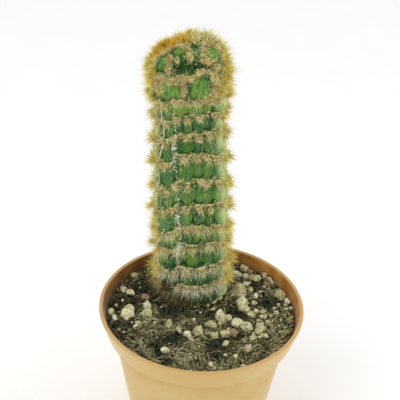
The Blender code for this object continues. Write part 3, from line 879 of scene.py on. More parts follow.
def headFields(azimuth, elevation):
    # Round tubercles stand out of the head and hollows go in: domes (1 - d^2.6)^0.7 and bowls 1 - d^2, with
    # d the distance in radii of each. Lines of wool are raised between them. Fine pleats fan out from the
    # top of each tubercle: (1/2 - 1/2 cos(15 t))^2 with t the angle there.
    none = 0.0 * azimuth
    relief, belly, pit = none, none, none
    tone, fan = 0.3 + none, 4.0 * np.radians(azimuth)
    for toAzimuth, toElevation, radius, height, pale in head["tubercles"]:
        away = headDistance(azimuth, elevation, toAzimuth, toElevation) / radius
        dome = np.clip(1 - away**2.6, 0, None)**0.7
        highest = height * dome > relief
        across = signed(azimuth - toAzimuth) * math.cos(math.radians(toElevation))
        down = toElevation + 1.3 * math.degrees(radius / head["radius"]) - elevation
        tone = np.where(highest, pale, tone)
        fan = np.where(highest, np.arctan2(across, down) + toAzimuth, fan)
        relief = np.maximum(relief, height * dome)
        belly = np.maximum(belly, dome)
    for toAzimuth, toElevation, radius, depth in head["pits"]:
        away = headDistance(azimuth, elevation, toAzimuth, toElevation) / radius
        pit = np.maximum(pit, depth * np.clip(1 - away**2, 0, None))
    for toAzimuth, toElevation, radius, height in head["swellings"]:
        relief = relief + height * bell(headDistance(azimuth, elevation, toAzimuth, toElevation) / radius)
    warp = cloud(ballPoint(azimuth, elevation), 3.0, 19, 2)
    pleat = (0.5 - 0.5 * np.cos(fan * 15 + 1.6 * warp))**2.0 * np.clip(0.6 + 0.6 * warp, 0, 1)
    wool, crack = (bell(ridgeDistance(azimuth, elevation, kind)) for kind in ("ridges", "cracks"))
    gold = goldMat(azimuth, elevation)
    sunk = np.clip(pit / 2.0, 0, 1)
    folded = np.maximum(belly, sunk)
    relief = relief * (1 - 0.7 * sunk) - pit + head["woolLift"] * wool
    relief = relief - head["pleatDepth"] * pleat * folded - head["crackDepth"] * crack
    # In the hollows the tone and the belly fall, so the skin is painted darker there: painted shade.
    return {"relief": relief, "crack": crack, "wool": wool * (1 - 0.5 * sunk), "pleat": pleat * folded,
            "tone": tone * (1 - sunk) * (1 - 0.4 * gold), "belly": np.maximum(belly, 0.35) * (1 - 0.4 * sunk),
            "pale": none, "crust": none, "gold": gold, "rust": rustAt(azimuth, elevation)}


def onHead(azimuth, elevation, lift):
    # below the head's middle, where the elevation is negative, it is a round wall
    a, e = np.radians(azimuth), np.radians(elevation)
    x, y = stemCentre(head["middle"])
    reach = head["radius"] * np.cos(np.maximum(e, 0.0))
    base = np.stack([x + reach * np.sin(a), y - reach * np.cos(a),
                     rimHeight + head["middle"] + head["rise"] * np.sin(e) + 0 * a], -1)
    return base + headNormal(azimuth, elevation) * np.asarray(lift)[..., None]


def corkAt(points):
    # 1 where the foot of the stem is corky: a ragged patch at its front left, and just above the soil
    high = points[..., 2] - rimHeight
    x, y = stemCentre(high)
    azimuth = np.degrees(np.arctan2(points[..., 0] - x, y - points[..., 1]))
    around = easeStep(50, 18, np.abs(signed(azimuth - stem["corkAzimuth"])))
    ragged = stem["corkHeight"] + stem["corkRagged"] * cloud(points, 7.0, 21, 2)
    rim = easeStep(0.5, -3.5, high) * (0.7 - 0.55 * easeStep(15, 60, signed(azimuth)))
    return np.maximum(around * easeStep(ragged + 2.5, ragged - 2.5, high), rim)


headFoot = math.degrees(math.asin((stem["rowHeights"][-1] - head["middle"]) / head["rise"]))
skinFields = ("wool", "tone", "belly", "pleat", "pale", "crust")


skin = {
    "deep": (0.009, 0.050, 0.003),
    "leaf": (0.036, 0.156, 0.011),
    "bright": (0.205, 0.385, 0.032),
    "streak": (0.20, 0.33, 0.06),
    "paleStreak": (0.38, 0.46, 0.18),
    "highlightTint": (0.15, 0.29, 0.125),
    "bluish": (0.022, 0.105, 0.045),
    "bloomAndHighlight": (0.36, 0.44, 0.26),
    "neck": (0.26, 0.40, 0.04),
    "middle": (0.018, 0.095, 0.014),
    "flank": (0.62, 0.76, 0.35),
    "underGold": (0.085, 0.080, 0.012),
    "underRust": (0.17, 0.072, 0.005),
    "felt": ((0.30, 0.26, 0.09), (0.82, 0.75, 0.34)),
    "brownFelt": (0.33, 0.16, 0.065),
    "paleSeam": (0.64, 0.62, 0.38),
    "crust": (0.44, 0.42, 0.28),
    "bark": ((0.036, 0.029, 0.013), (0.13, 0.105, 0.047)),
    "crack": (0.030, 0.014, 0.004),
}


def stemFinish():
    f = Finish("cactus skin", Roughness=0.5, Specular_IOR_Level=0.2, Subsurface_Weight=0.08,
               Subsurface_Radius=(0.0015, 0.003, 0.0006), Subsurface_Scale=1.0, Coat_Roughness=0.35)
    wool, tone, belly, pleat, pale, crust, cork, gold, rust, flank, crack = (
        f.field(name) for name in (*skinFields, "cork", "gold", "rust", "flank", "crack"))
    high = f.height() - rimHeight
    fine, mid, broad = f.noise(0.5, 3.0), f.noise(2.2, 3.0), f.noise(14.0)
    streak = f.noise(0.9, 3.0, (1.0, 1.0, 0.16))
    paleStreak = f.noise(0.6, 3.0, (1.0, 1.0, 0.13)).between(0.58, 0.66)
    darkStreak = f.noise(0.8, 3.0, (1.0, 1.0, 0.15)).between(0.44, 0.34)
    # painted light: the swells of the cells are painted brighter, more on cells of paler tone
    sunlit = (tone * 0.7 + mid * 0.45).between(0.32, 0.95) * belly.between(0.25, 0.85)
    # painted highlight: a pale bluish gloss on the cells' swells, weak on the head
    paintedHighlight = belly.between(0.45, 0.95) * mid.between(0.42, 0.60) * (0.1 + high.between(124.0, 114.0) * 0.4)
    # painted sheen: broad bluish patches, stronger on the lower stem
    bluish = broad.between(0.42, 0.60) * (0.25 + high.between(60.0, -2.0) * 0.35)
    # partly a pale waxy bloom, partly painted highlight: pale flecks on the tops of the cells' swells
    bloomAndHighlight = fine.between(0.5, 0.72) * belly.between(0.5, 0.95)
    neck = high.between(108.0, 112.0) * high.between(122.0, 118.0) * belly.between(0.1, 0.6)
    middle = high.between(62.0, 72.0) * high.between(108.0, 103.0)
    ragged = (wool + fine * 0.5 - 0.25).between(0.42, 0.66)
    flaky = (crust + f.noise(2.2, 4.0) * 3.0 - 2.25).between(0.30, 0.42)
    felt = f.over(
        f.mix(f.noise(1.4, 3.0).between(0.40, 0.58), *skin["felt"]),
        (wool.between(0.7, 1.0) * mid.between(0.42, 0.56) * 0.8, skin["brownFelt"]),
    )
    # Where belly is low, in the grooves between the cells and under their lips, the skin is a deeper green:
    # partly the plant's own darker green, partly painted shade.
    f.put("Base Color", f.over(
        f.mix(belly.between(0.0, 0.75), skin["deep"], skin["leaf"]),
        (tone.between(0.42, 0.10) * 0.6, skin["deep"]),
        (sunlit * 0.9, skin["bright"]),
        (streak.between(0.52, 0.62) * belly.between(0.1, 0.7) * 0.45, skin["streak"]),
        (paleStreak * 0.4, skin["paleStreak"]),
        (darkStreak * 0.75, skin["deep"]),
        # painted shade: the troughs of the fine pleats are painted dark green
        (pleat.between(0.10, 0.65) * 0.6, skin["deep"]),
        (paintedHighlight, skin["highlightTint"]),
        (bluish, skin["bluish"]),
        (bloomAndHighlight * 0.22, skin["bloomAndHighlight"]),
        (neck * 0.35, skin["neck"]),
        (high.between(9.0, 0.0) * 0.7, skin["deep"]),
        (middle * 0.35, skin["middle"]),
        (flank * (0.38 + streak.between(0.40, 0.56) * 0.52), skin["flank"]),
        (gold * 0.8, f.mix(rust, skin["underGold"], skin["underRust"])),
        (ragged * 0.9, felt),
        ((pale + mid * 0.3 - 0.15).between(0.40, 0.65) * 0.9, skin["paleSeam"]),
        (flaky * 0.75, skin["crust"]),
        ((cork + mid * 0.6 - 0.3).between(0.4, 0.7), f.mix(fine.between(0.35, 0.7), *skin["bark"])),
        (crack.between(0.2, 0.7) * 0.9, skin["crack"]),
    ))
    f.put("Roughness", 0.42 + 0.25 * fine + 0.3 * ragged)
    f.put("Coat Weight", belly.between(0.3, 0.9) * 0.06)
    f.bump(fine * 0.5 + mid * 0.5 + streak * 0.6 + flaky * 0.8 + ragged * f.noise(0.25), 0.25)
    return f.material


def roughened(points, normals, calm=1.0):
    # small and broad unevenness, along the normals
    rough = stem["fineRough"] * cloud(points, 1.6, 3, 2) + stem["broadRough"] * calm * cloud(points, 8.0, 9)
    return points + normals * rough[..., None]


def addStem():
    s = stem
    sides, perRow = s["sides"], s["ringsPerRow"]
    azimuth = signed(np.arange(sides) * 360.0 / sides)
    aGrid, vGrid = np.meshgrid(azimuth, np.arange(0, lastRow * perRow) / perRow)
    low = stemFields(aGrid, vGrid)
    body = onStem(aGrid, low["height"], low["radius"] + low["relief"])
    calm = easeStep(0, 4, low["height"] - s["rowHeights"][0])
    body = roughened(body, outwardAt(np.radians(aGrid)), calm)
    foot = np.degrees(np.arcsin((rowHeight(lastRow, azimuth) - head["middle"]) / head["rise"]))
    climb = np.linspace(0, 1, s["headRings"] + 1)[:-1, None]
    eHead = foot + (90 - foot) * climb
    aHead = np.broadcast_to(azimuth, eHead.shape)
    high = headFields(aHead, eHead)
    joined = easeStep(foot + 8, foot, eHead)
    edge = stemFields(aHead, np.full_like(aHead, lastRow - 1e-4))
    keys = (*skinFields, "gold", "rust", "crack")
    for key in ("relief", *keys):
        high[key] = high[key] * (1 - joined) + edge[key] * joined
    dome = roughened(onHead(aHead, eHead, high["relief"]), headNormal(aHead, eHead))
    endHeight, topHeight = s["soilHeight"] - s["buriedDepth"], s["soilHeight"] + 0.4
    buried = [level(radius, height + rimHeight, sides, stemCentre(height))
              for radius, height in ((s["buriedEndRadius"], endHeight), (s["buriedTopRadius"], topHeight))]
    rings = np.concatenate([np.stack(buried), body, dome])
    top = np.array([0.0]), np.array([90.0])
    pole = onHead(*top, headFields(*top)["relief"])[0]
    points, triangles = skinRings(rings, (*stemCentre(endHeight), endHeight + rimHeight), pole)
    still = np.zeros((2, sides))
    fields = {}
    for key in keys:
        fields[key] = ringField(np.concatenate([still, low[key], high[key]]), 0.0, high[key][-1].mean())
    fields["cork"] = ringField(np.concatenate([still + 1, corkAt(body), 0 * aHead]), 1.0, 0.0)
    flank = easeStep(*s["flankRight"], azimuth) + easeStep(*s["flankLeft"], -azimuth)
    flank = flank * easeStep(*s["flankBack"], np.abs(azimuth))
    flank = np.broadcast_to(flank, (len(rings), sides)) * (rings[..., 2] < rimHeight + s["flankTop"])
    fields["flank"] = ringField(flank, 0.0, 0.0)
    addPiece("cactus_stem", points, triangles, stemFinish(), fields, "cactus")


addStem()


# Areoles, wool and spines

wool = {
    "seed": 31,
    "hairsPerAreole": 76,
    "hairsBetween": 1100,
    "hairsPerHeadSpot": 36,
    "length": (1.0, 2.4),
    "radius": 0.105,
    "acrossSpread": 1.8,
    "alongSpread": 1.1,
    "lowShare": 0.35,  # how many of its hairs a low areole has
    "sink": 0.12,
    "bandSpread": 0.04,
    "spotSpread": 3.0,
    "spotReach": 1.7,  # in widths of the head's lines of wool
    "spotHeart": 0.8,
    "colours": ((0.52, 0.44, 0.145), (1.0, 0.95, 0.50)),
    "shadow": (0.24, 0.215, 0.064),
    "heart": (0.56, 0.22, 0.050),
    "edge": (1.0, 0.97, 0.54),
    "tip": (1.0, 0.93, 0.60),
    "corky": (0.075, 0.060, 0.026),
}
flakes = {
    "seed": 37,
    "count": 430,
    "size": (0.24, 0.75),
    "across": 2.6,
    "reach": (6.0, 114.0),
    # height up the stem and spread of each thick patch
    "patches": ((34.0, 1.5), (35.0, 2.0), (35.0, 3.0), (52.0, 2.0), (86.0, 3.0), (96.0, 2.0)),
    "inPatches": 0.72,
    "tilt": 0.7,
    "lift": (0.1, 0.9),
    "colours": ((0.66, 0.64, 0.50), (1.0, 1.0, 0.88)),
    "stain": (0.30, 0.27, 0.16),
}
spine = {
    "stemSeed": 47,
    "headSeed": 53,
    "radius": (0.10, 0.175),
    "sink": 0.25,
    # chances: of a spine's turn and root in its tuft, its gold, its bend and a tuft's size
    "turnSpread": 0.28,
    "rootSpread": 0.22,
    "goldSpread": 0.12,
    "bendSpread": 0.07,
    "tuftSize": (0.75, 1.25),
    "stemDroop": 0.10,
    "headDroop": 0.04,
    # Tufts: how many spines stand in one, their lengths, their tilts in radians and how far they hang.
    "radial": {"count": 20, "length": (1.8, 3.9), "tilt": (0.9, 1.5), "drop": 0.05},
    "central": {"count": 7, "length": (2.8, 4.8), "tilt": (0.2, 0.9), "drop": 0.12},
    "notch": {"count": 17, "length": (1.3, 2.7), "tilt": (0.8, 1.4), "drop": -0.35},
    "golden": {"count": 16, "length": (3.0, 6.4), "tilt": (0.1, 1.3), "drop": 0.05},
    "headRadial": {"count": 12, "length": (1.1, 2.2), "tilt": (0.6, 1.4), "drop": 0.0},
    "headCentral": {"count": 3, "length": (2.0, 3.2), "tilt": (0.1, 0.7), "drop": 0.0},
    "crown": {"count": 13, "length": (2.2, 3.9), "tilt": (0.2, 1.2), "drop": 0.0},
    # Single spines: how many, their lengths, tilts or shares of each way, width, and how golden and light
    # they are. Those of the crown tilt by a mean and a spread.
    "between": {"count": 1450, "length": (2.2, 5.0), "tilt": (0.1, 1.3), "width": 0.7, "gold": (0.45, 1.0)},
    "needle": {"count": 1250, "length": (4.5, 8.5), "tilt": (0.1, 1.0), "width": 0.45, "gold": (0.2, 0.8)},
    "stray": {"count": 1300, "length": (2.0, 5.0), "tilt": (1.0, 1.4), "width": 0.8, "gold": (0, 0.15),
              "shade": (0.55, 1.0)},
    "lash": {"count": 2300, "length": (4.0, 7.5), "out": (0.3, 0.8), "aside": 0.35, "down": (0.5, 1.0),
             "width": 0.55, "shade": (0.35, 1.0)},
    "skirt": {"count": 320, "length": (3.5, 8.0), "out": (0.4, 1.2), "aside": 0.6, "down": (0.3, 1.0),
              "width": 0.55, "gold": (0, 0.2), "shade": (0.0, 0.9)},
    "crownHair": {"count": 1000, "length": (1.8, 3.4), "meanTilt": 0.3, "spread": 0.5, "width": 0.95},
    "crownTip": {"count": 720, "length": (4.4, 7.0), "meanTilt": 0.3, "spread": 0.3, "width": 0.95},
    # heights under which tufts are sparse and over which the golden ones are short; azimuths in degrees
    "sparseBelow": 40,
    "sparseNotchesBelow": 34,
    "shortAbove": 66,
    "short": 0.78,
    "front": 64,
    "flank": (58, 124),
    "flankShare": 0.7,
    "betweenFlank": (60, 125),
    "needleFlank": (56, 122),
    "strayFlank": (52, 100),
    "skirtMiddle": -52,
    "skirtSpread": 26,
    "lashRows": 4,
    "crownTufts": 225,
    "headSpotSpacing": 1.7,
    "lowestTip": -4.2,
    "glow": 0.075,
    # colours of the darkest and the lightest spines
    "amber": ((0.50, 0.36, 0.004), (1.0, 0.93, 0.12)),
    "lowAmber": ((0.88, 0.57, 0.035), (1.0, 0.84, 0.18)),
    "rust": ((0.42, 0.20, 0.0), (1.0, 0.62, 0.010)),
    "cream": ((0.40, 0.34, 0.11), (0.96, 0.92, 0.42)),
    "lowCream": ((0.50, 0.44, 0.28), (1.0, 1.0, 0.86)),
    "corky": ((0.060, 0.046, 0.017), (0.60, 0.51, 0.24)),
    "amberTip": (1.0, 1.0, 0.55),
    "lightCream": (1.0, 1.0, 0.66),
    "root": (0.56, 0.32, 0.10),
    "brown": (0.66, 0.36, 0.15),
}


def everyCell():
    # row and number of every cell of the stem
    row, number = np.meshgrid(np.arange(lastRow), np.arange(stem["cells"]), indexing="ij")
    return row.ravel(), number.ravel()


def stemAreoles():
    # azimuth and place, counted in bands from the soil, of every areole of the stem, at the top of its cell,
    # and of a second line of them close under the head
    row, number = everyCell()
    collar = np.arange(27)
    azimuth = signed(collar * 13.5 + 4 * np.sin(collar * 2.3))
    v = lastRow - 0.22 + 0.06 * np.sin(collar * 4.1)
    return (np.concatenate([cellMiddle(number, row), azimuth]),
            np.concatenate([row + 0.95 - 0.18 * cellRandom(number, row, 9), v]))


def notchAreoles():
    # places where two cells meet, a little above the band over them
    row, number = everyCell()
    v = row + 1.03 + 0.08 * cellRandom(number, row, 11)
    return cellMiddle(number + 0.5, row), np.minimum(v, lastRow - 0.01)


def headSpots(rng):
    # places along the head's lines of wool, a step apart, and the width of the line of each
    spots, widths = [], []
    for width, *line in head["ridges"]:
        corners = ballPoint(*np.array(line, float).T)
        for start, end in zip(corners[:-1], corners[1:]):
            count = max(1, round(np.linalg.norm(end - start) / spine["headSpotSpacing"]))
            t = (np.arange(count)[:, None] + 0.5) / count
            spots.append(start * (1 - t) + end * t + rng.normal(0, 0.35 * width, (count, 3)))
            widths.append(np.full(count, width))
    places = unit(np.concatenate(spots))
    elevation = np.degrees(np.arcsin(places[:, 2]))
    azimuth = np.degrees(np.arctan2(places[:, 0], -places[:, 1]))
    return azimuth, np.maximum(elevation, headFoot + 1), np.concatenate(widths)


def stemFrame(azimuth, v):
    # roots on the relief, with the outward, sideways and upward directions there
    fields = stemFields(azimuth, v)
    a = np.radians(azimuth)
    root = onStem(azimuth, fields["height"], fields["radius"] + fields["relief"])
    upward = np.broadcast_to([0.0, 0.0, 1.0], root.shape)
    return np.stack([root, outwardAt(a), sidewaysAt(a), upward], 1)


def headFrame(azimuth, elevation):
    root = onHead(azimuth, elevation, headFields(azimuth, elevation)["relief"])
    outward, sideways = headNormal(azimuth, elevation), sidewaysAt(np.radians(azimuth))
    return np.stack([root, outward, sideways, np.cross(outward, sideways)], 1)


def leaning(places, tilt, turn):
    # directions that lean from outward by a tilt, turned round it: both in radians
    flat = places[:, 2] * np.cos(turn)[:, None] + places[:, 3] * np.sin(turn)[:, None]
    return unit(places[:, 1] * np.cos(tilt)[:, None] + flat * np.sin(tilt)[:, None])


def heightOf(places):
    return places[:, 0, 2] - rimHeight


def goldAt(azimuth, height):
    # spines are golden on the flanks, the back and the head, and pale cream at the front of the stem
    side = easeStep(0.70, 0.94, np.abs(np.sin(np.radians(azimuth))))
    back = easeStep(85, 120, np.abs(signed(azimuth)))
    middle = easeStep(42, 58, height) * easeStep(114, 102, height)
    gold = np.maximum(side, 0.75 * back) * (1 - 0.12 * middle) + 0.25 * easeStep(104, 122, height)
    return np.clip(gold, 0, 1)


class Spines:
    # gathers spines, then makes one piece of them
    def __init__(self, seed):
        self.rng = np.random.default_rng(seed)
        self.batches = []

    def take(self, places, ways, lengths, golds, width=1.0, rust=0.0, shades=(0.0, 1.0)):
        n = len(places)
        shade = self.rng.uniform(*shades, n)
        self.batches.append((places, ways, lengths, golds, np.full(n, width), np.zeros(n) + rust, shade))

    def tufts(self, kind, places, golds, share=1.0, shrink=1.0, rust=0.0):
        # the kind's count of spines to a place, evenly turned round it with a little chance
        rng, count = self.rng, round(share * kind["count"])
        many = np.repeat(places, count, axis=0)
        n = len(many)
        turn = np.tile(np.arange(count) * 2 * np.pi / count, len(places))
        turn = turn + rng.normal(0, spine["turnSpread"], n)
        turn = turn + np.repeat(rng.uniform(0, 2 * np.pi, len(places)), count)
        ways = leaning(many, rng.uniform(*kind["tilt"], n), turn)
        ways = unit(ways - np.array([0.0, 0.0, kind["drop"]]))
        many[:, 0] += ways * rng.uniform(0, 0.5, (n, 1)) + rng.normal(0, spine["rootSpread"], (n, 3))
        rusts = np.repeat(np.zeros(len(places)) + rust, count)
        scale = np.repeat(rng.uniform(*spine["tuftSize"], len(places)), count)
        golds = np.repeat(golds, count) + rng.normal(0, spine["goldSpread"], n)
        low, high = (shrink * length for length in kind["length"])
        self.take(many, ways, rng.uniform(low, high, n) * scale, golds, 1.0, rusts)

    def leaned(self, kind, places):
        # directions that lean from outward by a chance tilt to a chance side
        n = len(places)
        return leaning(places, self.rng.uniform(*kind["tilt"], n), self.rng.uniform(0, 2 * np.pi, n))

    def hung(self, kind, places):
        # directions that hang: chance shares of outward, sideways and down
        rng, size = self.rng, (len(places), 1)
        out = places[:, 1] * rng.uniform(*kind["out"], size)
        aside = places[:, 2] * rng.normal(0, kind["aside"], size)
        return unit(out + aside - places[:, 3] * rng.uniform(*kind["down"], size))

    def singles(self, kind, places, ways, golds=None):
        n = len(places)
        lengths = self.rng.uniform(*kind["length"], n)
        golds = self.rng.uniform(*kind["gold"], n) if golds is None else golds
        self.take(places, ways, lengths, golds, kind["width"], 0.0, kind.get("shade", (0.0, 1.0)))

    def addPieceOf(self, name, droop):
        # spines that would reach under the soil or over the top are bent or cut short
        rng = self.rng
        places, ways, lengths, golds, widths, rusts, shades = (
            np.concatenate(column) for column in zip(*self.batches))
        golds = np.clip(golds, 0, 1)
        n = len(lengths)
        roots = places[:, 0] - places[:, 1] * spine["sink"]
        bends = np.array([0.0, 0.0, -droop]) + rng.normal(0, spine["bendSpread"], (n, 3))
        lowest, highest = rimHeight + spine["lowestTip"], topLimit - 0.1
        fall = (ways[:, 2] + bends[:, 2]) * lengths
        short = roots[:, 2] + fall < lowest
        ways[short, 2] += (lowest - roots[short, 2] - fall[short]) / lengths[short]
        rise = (ways[:, 2] + bends[:, 2]) * lengths
        tall = roots[:, 2] + rise > highest
        lengths[tall] *= np.clip((highest - roots[tall, 2]) / rise[tall], 0.2, 1)
        radii = rng.uniform(*spine["radius"], n) * widths
        points, triangles, number, along = hairs(roots, ways, lengths, radii, bends, 2)
        fields = {"gold": golds[number], "shade": shades[number], "along": along,
                  "rust": rusts[number], "dull": corkAt(roots)[number]}
        addPiece(name, points, triangles, spineFinish(), fields)


def woolFinish():
    w = wool
    f = Finish("areole wool", Roughness=0.9, Specular_IOR_Level=0.2, Sheen_Weight=0.2, Sheen_Roughness=0.5)
    shade, along, heart, dull = (f.field(name) for name in ("shade", "along", "heart", "dull"))
    f.put("Base Color", f.over(
        f.mix(shade.between(0.0, 0.8), *w["colours"]),
        (f.noise(1.5, 3.0).between(0.52, 0.40) * 0.5, w["shadow"]),
        (heart * f.noise(2.6, 3.0).between(0.42, 0.54), w["heart"]),
        (heart.between(0.45, 0.1) * 0.6, w["edge"]),
        (along.between(0.5, 1.0) * 0.4, w["tip"]),
        (dull * 0.9, w["corky"]),
    ))
    return f.material


def spineFinish():
    # a little glow stands for the light that passes through thin spines
    s = spine
    f = Finish("spine", Roughness=0.5, Specular_IOR_Level=0.12, Emission_Strength=s["glow"])
    gold, shade, along, rusty, dull = (f.field(name) for name in ("gold", "shade", "along", "rust", "dull"))
    high = f.height() - rimHeight
    rust = rusty * 1.15 * along.between(1.4, 0.5) * (0.75 + f.noise(7.0, 3.0).between(0.4, 0.6) * 0.3)
    amber = f.over(
        f.mix(shade.between(0.1, 0.8), *s["amber"]),
        (along.between(0.4, 0.9) * shade.between(0.15, 0.6) * 0.85, s["amberTip"]),
        (high.between(72.0, 34.0) * 0.8, f.mix(shade, *s["lowAmber"])),
        (rust.between(0.0, 1.0), f.mix(shade, *s["rust"])),
    )
    cream = f.over(
        f.mix(shade.between(0.0, 0.6), *s["cream"]),
        (shade.between(0.6, 1.0), s["lightCream"]),
        (high.between(44.0, 8.0) * (0.7 - dull * 0.7), f.mix(shade, *s["lowCream"])),
    )
    colour = f.over(
        f.mix(gold, cream, amber),
        (along.between(0.42, 0.0) * (0.42 - gold * 0.27), s["root"]),
        (f.noise(3.2).between(0.50, 0.62) * high.between(8.0, 26.0) * (0.55 - gold * 0.5), s["brown"]),
        (dull * 0.95, f.mix(shade.between(0.45, 0.95), *s["corky"])),
    )
    f.put("Base Color", colour)
    f.put("Emission Color", colour)
    return f.material


def addWool():
    w = wool
    rng = np.random.default_rng(w["seed"])
    azimuth, v = stemAreoles()
    count = w["hairsPerAreole"]
    degrees = 360.0 / (2 * np.pi * stem["meanRadius"])  # to a millimetre round the stem
    aside, up = rng.normal(0, 1, (2, len(azimuth) * count))
    a = np.repeat(azimuth, count) + aside * w["acrossSpread"] * degrees
    vv = np.repeat(v, count) + up * w["alongSpread"] / stem["rowPitch"]
    share = w["lowShare"] + (1 - w["lowShare"]) * easeStep(2.0, 4.0, vv)
    thick = rng.uniform(0, 1, len(vv)) < share
    a, vv, aside, up = a[thick], vv[thick], aside[thick], up[thick]
    heart = np.exp(-(aside**2 + up**2) / 1.2)
    bandRow = rng.integers(1, lastRow + 1, w["hairsBetween"])
    a = np.concatenate([a, rng.uniform(-180, 180, len(bandRow))])
    vv = np.concatenate([vv, bandRow + rng.normal(-0.01, w["bandSpread"], len(bandRow))])
    onBands = stemFrame(a, np.minimum(vv, lastRow - 0.01))
    spotA, spotE, spotWidth = headSpots(rng)
    count = w["hairsPerHeadSpot"]
    spread = w["spotSpread"] * np.repeat(spotWidth, count)
    he = np.repeat(spotE, count) + rng.normal(0, 1, len(spotE) * count) * spread
    he = np.clip(he, headFoot + 0.5, 89)
    narrow = np.maximum(0.25, np.cos(np.radians(he)))
    ha = np.repeat(spotA, count) + rng.normal(0, 1, len(he)) * spread / narrow
    near = ridgeDistance(ha, he) < w["spotReach"]
    ha, he = ha[near], he[near]
    places = np.concatenate([onBands, headFrame(ha, he)])
    heart = np.concatenate([heart, 0.0 * bandRow, bell(ridgeDistance(ha, he) / w["spotHeart"])])
    n = len(places)
    ways = leaning(places, np.abs(rng.normal(0.75, 0.4, n)), rng.uniform(0, 2 * np.pi, n))
    bends = unit(rng.normal(0, 1, (n, 3))) * rng.uniform(0.15, 0.5, (n, 1)) + [0.0, 0.0, -0.12]
    roots = places[:, 0] - places[:, 1] * w["sink"]
    lengths, radii = rng.uniform(*w["length"], n), np.full(n, w["radius"])
    points, triangles, hair, along = hairs(roots, ways, lengths, radii, bends, 2)
    fields = {"shade": rng.uniform(0, 1, n)[hair], "along": along, "heart": heart[hair],
              "dull": corkAt(roots)[hair]}
    addPiece("areole_wool", points, triangles, woolFinish(), fields)


def flakeFinish():
    f = Finish("white crust", Roughness=0.9, Specular_IOR_Level=0.2)
    colour = f.mix(f.field("shade"), *flakes["colours"])
    f.put("Base Color", f.mix(f.noise(0.5, 3.0).between(0.5, 0.7) * 0.4, colour, flakes["stain"]))
    return f.material


def addFlakes():
    # thin dry flakes along the crusted seam, more of them where it is thick
    rng = np.random.default_rng(flakes["seed"])
    n = flakes["count"]
    middle, spread = np.array(flakes["patches"]).T
    patch = rng.integers(0, len(middle), n)
    grouped = rng.uniform(0, 1, n) < flakes["inPatches"]
    high = np.where(grouped, rng.normal(middle[patch], spread[patch]), rng.uniform(*flakes["reach"], n))
    high = high.clip(*flakes["reach"])
    aside = rng.normal(0, flakes["across"], n) * np.where(grouped, 1.0, 0.35)
    azimuth = alongLine(stem["crustSeam"], high) + aside
    places = stemFrame(azimuth, np.interp(high, stem["rowHeights"], np.arange(lastRow + 1)))
    template, faces = ball(0)
    shapes = template[None] * rng.uniform(0.6, 1.3, (n, len(template), 1))
    sizes = rng.uniform(*flakes["size"], (n, 1)) / 2 * rng.uniform((0.6, 0.3, 0.5), (2.0, 0.6, 2.2), (n, 3))
    turn = np.radians(azimuth) + rng.normal(0, 0.5, n)
    turns = turnsFrom(turn, rng.normal(0, flakes["tilt"], n), rng.normal(0, flakes["tilt"], n))
    centres = places[:, 0] + places[:, 1] * rng.uniform(*flakes["lift"], (n, 1))
    points, triangles, number = scatter(shapes, faces, centres, turns, sizes)
    fields = {"shade": rng.uniform(0, 1, n)[number]}
    addPiece("seam_crust", points, triangles, flakeFinish(), fields)


def addStemSpines():
    s = spine
    made = Spines(s["stemSeed"])
    rng = made.rng
    azimuth, v = stemAreoles()
    places = stemFrame(azimuth, v)
    high, around = heightOf(places), np.abs(azimuth)
    golds = goldAt(azimuth, high)
    above = high > s["sparseBelow"]
    front = above & (around < s["front"])
    for group, share, shrink in ((~above, 0.5, 1.0), (front, 0.8, s["short"]), (above & ~front, 1.0, 1.0)):
        for kind in ("radial", "central"):
            made.tufts(s[kind], places[group], golds[group], share, shrink)
    notchAzimuth, notchV = notchAreoles()
    notches = stemFrame(notchAzimuth, notchV)
    notchGolds = goldAt(notchAzimuth, heightOf(notches))
    above = heightOf(notches) > s["sparseNotchesBelow"]
    for group, share in ((above, 1.0), (~above, 0.45)):
        made.tufts(s["notch"], notches[group], notchGolds[group], share)
    flank = (around > s["flank"][0]) & (around < s["flank"][1])
    flank = flank & (rng.uniform(0, 1, len(around)) < s["flankShare"])
    upper = high > s["shortAbove"]
    for group, shrink in ((flank & ~upper, 1.0), (flank & upper, s["short"])):
        made.tufts(s["golden"], places[group], golds[group], 1.0, shrink)

    n = s["between"]["count"]
    side = rng.choice([-1, 1], n) * rng.uniform(*s["betweenFlank"], n)
    between = stemFrame(side, rng.uniform(0.3, lastRow - 0.05, n))
    made.singles(s["between"], between, made.leaned(s["between"], between))

    n = s["lash"]["count"]
    azimuth = rng.uniform(-180, 180, n)
    row = np.floor(s["lashRows"] * rng.uniform(0, 1, n)**1.5)
    lashes = stemFrame(azimuth, row + 0.93 + rng.normal(0, 0.05, n))
    made.singles(s["lash"], lashes, made.hung(s["lash"], lashes), 0.9 * goldAt(azimuth, heightOf(lashes)))

    n = s["skirt"]["count"]
    skirt = stemFrame(rng.normal(s["skirtMiddle"], s["skirtSpread"], n), rng.uniform(0.1, 0.9, n))
    made.singles(s["skirt"], skirt, made.hung(s["skirt"], skirt))

    n = s["needle"]["count"]
    side = rng.choice([-1, 1], n) * rng.uniform(*s["needleFlank"], n)
    needles = stemFrame(side, np.floor(rng.uniform(0, lastRow, n)) + rng.normal(0.90, 0.10, n).clip(0, 0.99))
    made.singles(s["needle"], needles, made.leaned(s["needle"], needles))

    n = s["stray"]["count"]
    azimuth = rng.uniform(-180, 180, n)
    azimuth[::2] = np.sign(azimuth[::2]) * rng.uniform(*s["strayFlank"], len(azimuth[::2]))
    strays = stemFrame(azimuth, np.floor(rng.uniform(0, lastRow, n)) + rng.uniform(0.45, 0.95, n))
    ways = leaning(strays, rng.uniform(*s["stray"]["tilt"], n), rng.normal(-np.pi / 2, 0.28, n))
    made.singles(s["stray"], strays, ways)
    made.addPieceOf("stem_spines", s["stemDroop"])


